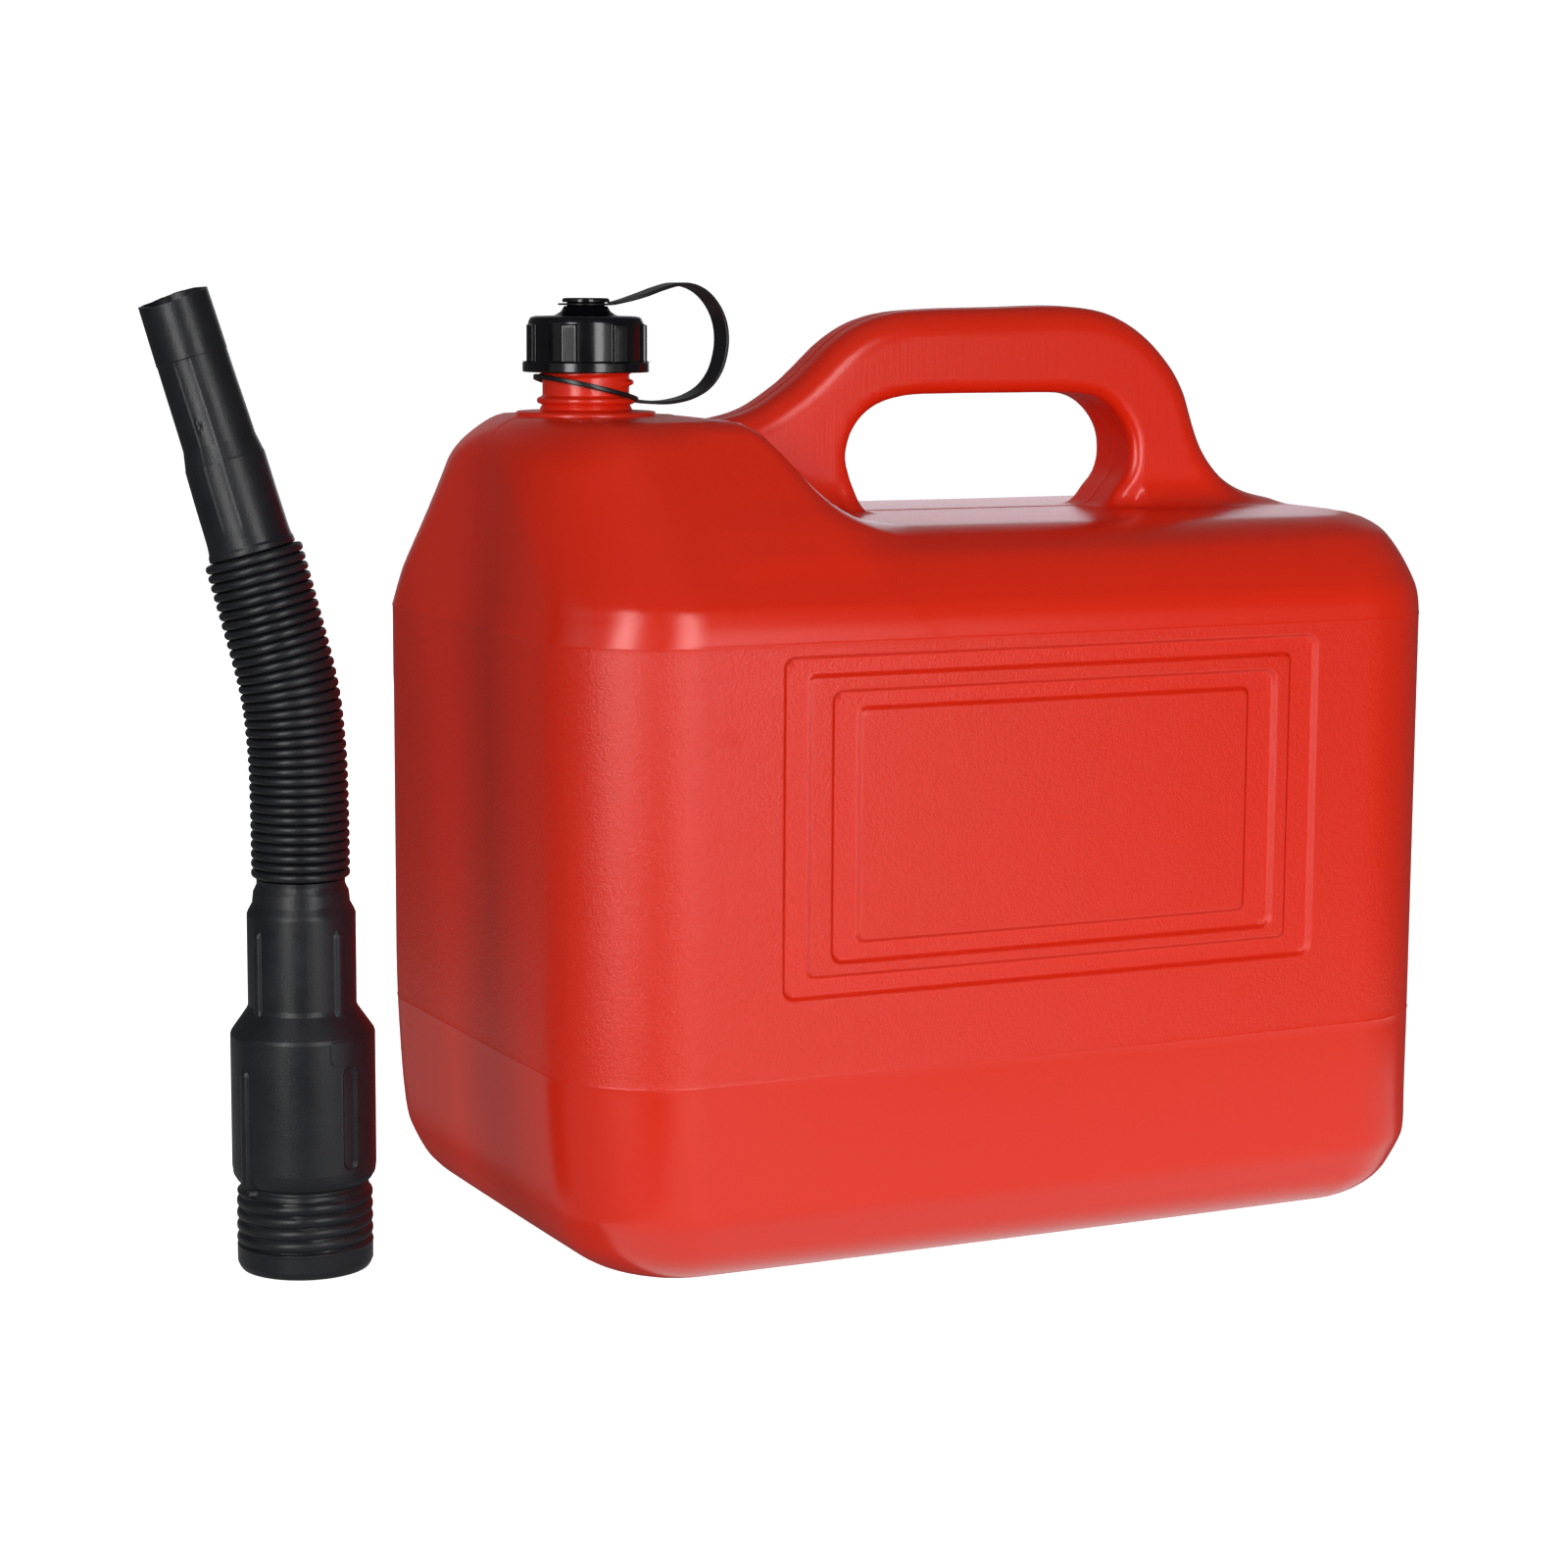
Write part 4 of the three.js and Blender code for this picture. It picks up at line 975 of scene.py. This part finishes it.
def black(name, col, r0, r1, grain_scale, grain_depth, grain_strength, tint=0.25, streak=None, shine=0.5, ior=1.5):
    m, nt, b = nodes_of(name)
    g = Graph(nt)
    a = g.noise(55.0, 3.0, seed=1.0)
    c0 = tuple(c * (1 - tint) for c in col)
    c1 = tuple(c * (1 + tint) for c in col)
    nt.links.new(g.mix(g.ramp(a, 0.3, 0.7), c0, c1), b.inputs["Base Color"])
    b.inputs["IOR"].default_value = ior
    b.inputs["Specular IOR Level"].default_value = shine
    s = g.noise(900.0, 2.0, seed=4.0)
    rr = g.math("ADD", g.ramp(a, 0.3, 0.7, r0, r1), g.ramp(s, 0.62, 0.75, 0.0, 0.08))
    nt.links.new(rr, b.inputs["Roughness"])
    h = g.noise(grain_scale, 3.0, 0.6, seed=6.0)
    n = g.bump(h, grain_depth, grain_strength)
    if streak:
        d = g.noise(1.0, 3.0, 0.6, stretch=streak, seed=8.0)
        n = g.bump(d, grain_depth, grain_strength * 0.8, n)
    nt.links.new(n, b.inputs["Normal"])
    return m


cap_mat = black("black_polypropylene", (0.0035, 0.0035, 0.0048), 0.15, 0.20, 700.0, 0.00006, 0.22, shine=0.55)
strap_mat = black("black_strap_plastic", (0.0075, 0.0075, 0.0095), 0.27, 0.36, 1100.0, 0.00007, 0.35)
spout_mat = black("black_polyethylene", (0.0125, 0.0135, 0.0175), 0.31, 0.39, 1300.0, 0.00011, 0.5, 0.12, (520.0, 520.0, 24.0), 0.32)
seal_mat, nt, b = nodes_of("pale_foam_liner")
g = Graph(nt)
cells = g.noise(1800.0, 3.0)
nt.links.new(g.mix(g.ramp(cells, 0.35, 0.65), (0.58, 0.56, 0.50), (0.72, 0.70, 0.63)), b.inputs["Base Color"])
b.inputs["Roughness"].default_value = 0.7
nt.links.new(g.bump(cells, 0.0001, 0.6), b.inputs["Normal"])
give(cap, cap_mat)
give(seal, seal_mat)
for ob in (ring, band, eye):
    give(ob, strap_mat)
for ob in (spout_base, bellows, nozzle):
    give(ob, spout_mat)

# ================================================================ camera
cam = bpy.data.cameras.new("camera")
cam_ob = bpy.data.objects.new("camera", cam)
scene.collection.objects.link(cam_ob)
R = Matrix(((0.90005, 0.055759, -0.432205), (-0.435749, 0.128236, -0.890886), (0.005749, 0.990175, 0.139716)))
m = R.to_4x4()
m.translation = Vector((-0.63825, -1.21047, 0.35561 - FLOOR * MM))
cam_ob.matrix_world = m
cam.sensor_width = 36.0
cam.lens = 3617.1 / 1600 * 36
cam.clip_start = 0.05
scene.camera = cam_ob


# ================================================================ floor, backdrop and light
def plane(name, corners, faces=((0, 1, 2, 3),)):
    me_ = bpy.data.meshes.new(name)
    me_.from_pydata([tuple(c) for c in corners], [], [tuple(f) for f in faces])
    ob = bpy.data.objects.new(name, me_)
    scene.collection.objects.link(ob)
    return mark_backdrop(ob) or ob


def white(name, glow, shade=0.8):
    m = bpy.data.materials.new(name)
    m.use_nodes = True
    b = m.node_tree.nodes["Principled BSDF"]
    b.inputs["Base Color"].default_value = (shade, shade, shade, 1)
    b.inputs["Roughness"].default_value = 0.8
    b.inputs["Specular IOR Level"].default_value = 0.0
    b.inputs["Emission Color"].default_value = (1, 1, 1, 1)
    b.inputs["Emission Strength"].default_value = glow
    return m


def studio(ob, camera, diffuse, glossy, shadow=False):
    ob.visible_camera, ob.visible_diffuse, ob.visible_glossy, ob.visible_shadow = camera, diffuse, glossy, shadow
    ob.visible_transmission = False
    ob.visible_volume_scatter = False


floor = plane("floor", [(-15, -15, -0.0006), (15, -15, -0.0006), (15, 15, -0.0006), (-15, 15, -0.0006)])
give(floor, white("floor_white", 1.02))
studio(floor, True, False, False)
ends = [(-14, -14), (14, -14), (14, 14), (-14, 14)]
back = plane("backdrop", [(x, y, -0.0005) for x, y in ends] + [(x, y, 14) for x, y in ends],
             [(k, (k + 1) % 4, (k + 1) % 4 + 4, k + 4) for k in range(4)])
give(back, white("backdrop_white", 1.02))
studio(back, True, False, False)


def area(name, loc, target, w, h, power, color=(1, 1, 1), spread=180, roll=0.0):
    l = bpy.data.lights.new(name, "AREA")
    l.shape = "RECTANGLE"
    l.size, l.size_y, l.energy, l.color = w, h, power, color
    l.spread = math.radians(spread)
    o = bpy.data.objects.new(name, l)
    scene.collection.objects.link(o)
    d = (Vector(target) - Vector(loc)).normalized()
    o.location = loc
    o.rotation_mode = "QUATERNION"
    o.rotation_quaternion = d.to_track_quat("-Z", "Y")
    o.visible_camera = False
    return o
TARGET = (-0.03, 0.0, 0.13)
LIGHTS = [
    ("strip_left", (-0.878, -0.595, 0.52), (-0.16, -0.09, 0.5), 0.28, 1.0, 6.6, (1, 1, 1), "g"),
    ("strip_left_low", (-0.878, -0.595, -0.14), (-0.16, -0.09, -0.12), 0.28, 0.32, 0.457, (1, 1, 1), "g"),
    ("strip_mid", (-0.075, -0.97, 0.56), (-0.13, -0.1, 0.5), 0.28, 0.95, 5.2, (1, 1, 1), "g"),
    ("strip_mid_low", (-0.075, -0.97, -0.08), (-0.13, -0.1, -0.06), 0.28, 0.33, 0.422, (1, 1, 1), "g"),
    ("shine_back", (0.95, 2.1, 0.75), (0, 0, 0.25), 2.4, 1.3, 1.870, (1, 1, 1), "g"),
    ("shine_deck", (0.95, 1.55, 0.40), (0.05, 0, 0.27), 0.55, 0.5, 0.938, (0.86, 0.90, 1.0), "g"),
    ("shine_right", (0.27, -1.27, 0.06), (-0.1, -0.1, 0.14), 0.36, 0.7, 0.695, (1, 1, 1), "g"),
    ("shine_left", (-2.2, -0.2, 0.6), TARGET, 1.2, 1.2, 0.94, (1, 1, 1), "g"),
    ("shine_far_right", (1.3, -1.9, 0.2), TARGET, 0.9, 1.0, 0.80, (1, 1, 1), "g"),
    ("fill_near", (0.25, -1.1, 0.25), (0.1, -0.1, 0.14), 0.5, 0.4, 5.35, (1, 1, 1), "d"),
    ("fill_front_left", (-1.5, -1.9, 0.6), TARGET, 1.0, 1.0, 22.4, (1, 1, 1), "d"),
    ("fill_left", (-2.3, 0.3, 0.7), TARGET, 1.0, 1.0, 9.15, (1, 1, 1), "d"),
    ("fill_top", (-0.1, -0.2, 2.2), (-0.05, 0.0, 0.2), 1.6, 1.6, 3.334, (1, 1, 1), "d"),
    ("fill_back", (0.2, 2.1, 1.3), (0, 0, 0.2), 2.0, 1.0, 25.084, (0.93, 0.96, 1.0), "d"),
]
for spec in LIGHTS:
    lamp = area(*spec[:7])
    lamp.visible_diffuse, lamp.visible_glossy = spec[7] != "g", spec[7] != "d"
TABLES = [
    ("table_glow", (-0.62, -0.33), (0.42, 0.5), -0.0012, 0.48, True),
    ("table_shine_front", (-0.2, -0.45), (0.42, -0.09), -0.0016, 0.9, False),
    ("table_shine_left", (-0.62, -0.33), (-0.2, 0.5), -0.0018, 0.25, False),
]
for name, (x0, y0), (x1, y1), z, glow, soft in TABLES:
    under = plane(name, [(x0, y0, z), (x1, y0, z), (x1, y1, z), (x0, y1, z)])
    give(under, white(name, glow, 0.0))
    studio(under, False, soft, not soft, False)
w = bpy.data.worlds.new("studio")
scene.world = w
w.use_nodes = True
w.node_tree.nodes["Background"].inputs[0].default_value = (0.97, 0.98, 1.0, 1)
w.node_tree.nodes["Background"].inputs[1].default_value = 0.075
scene.view_settings.view_transform = "Standard"
scene.view_settings.look = "None"
scene.view_settings.exposure = 0.0
scene.view_settings.gamma = 1.0
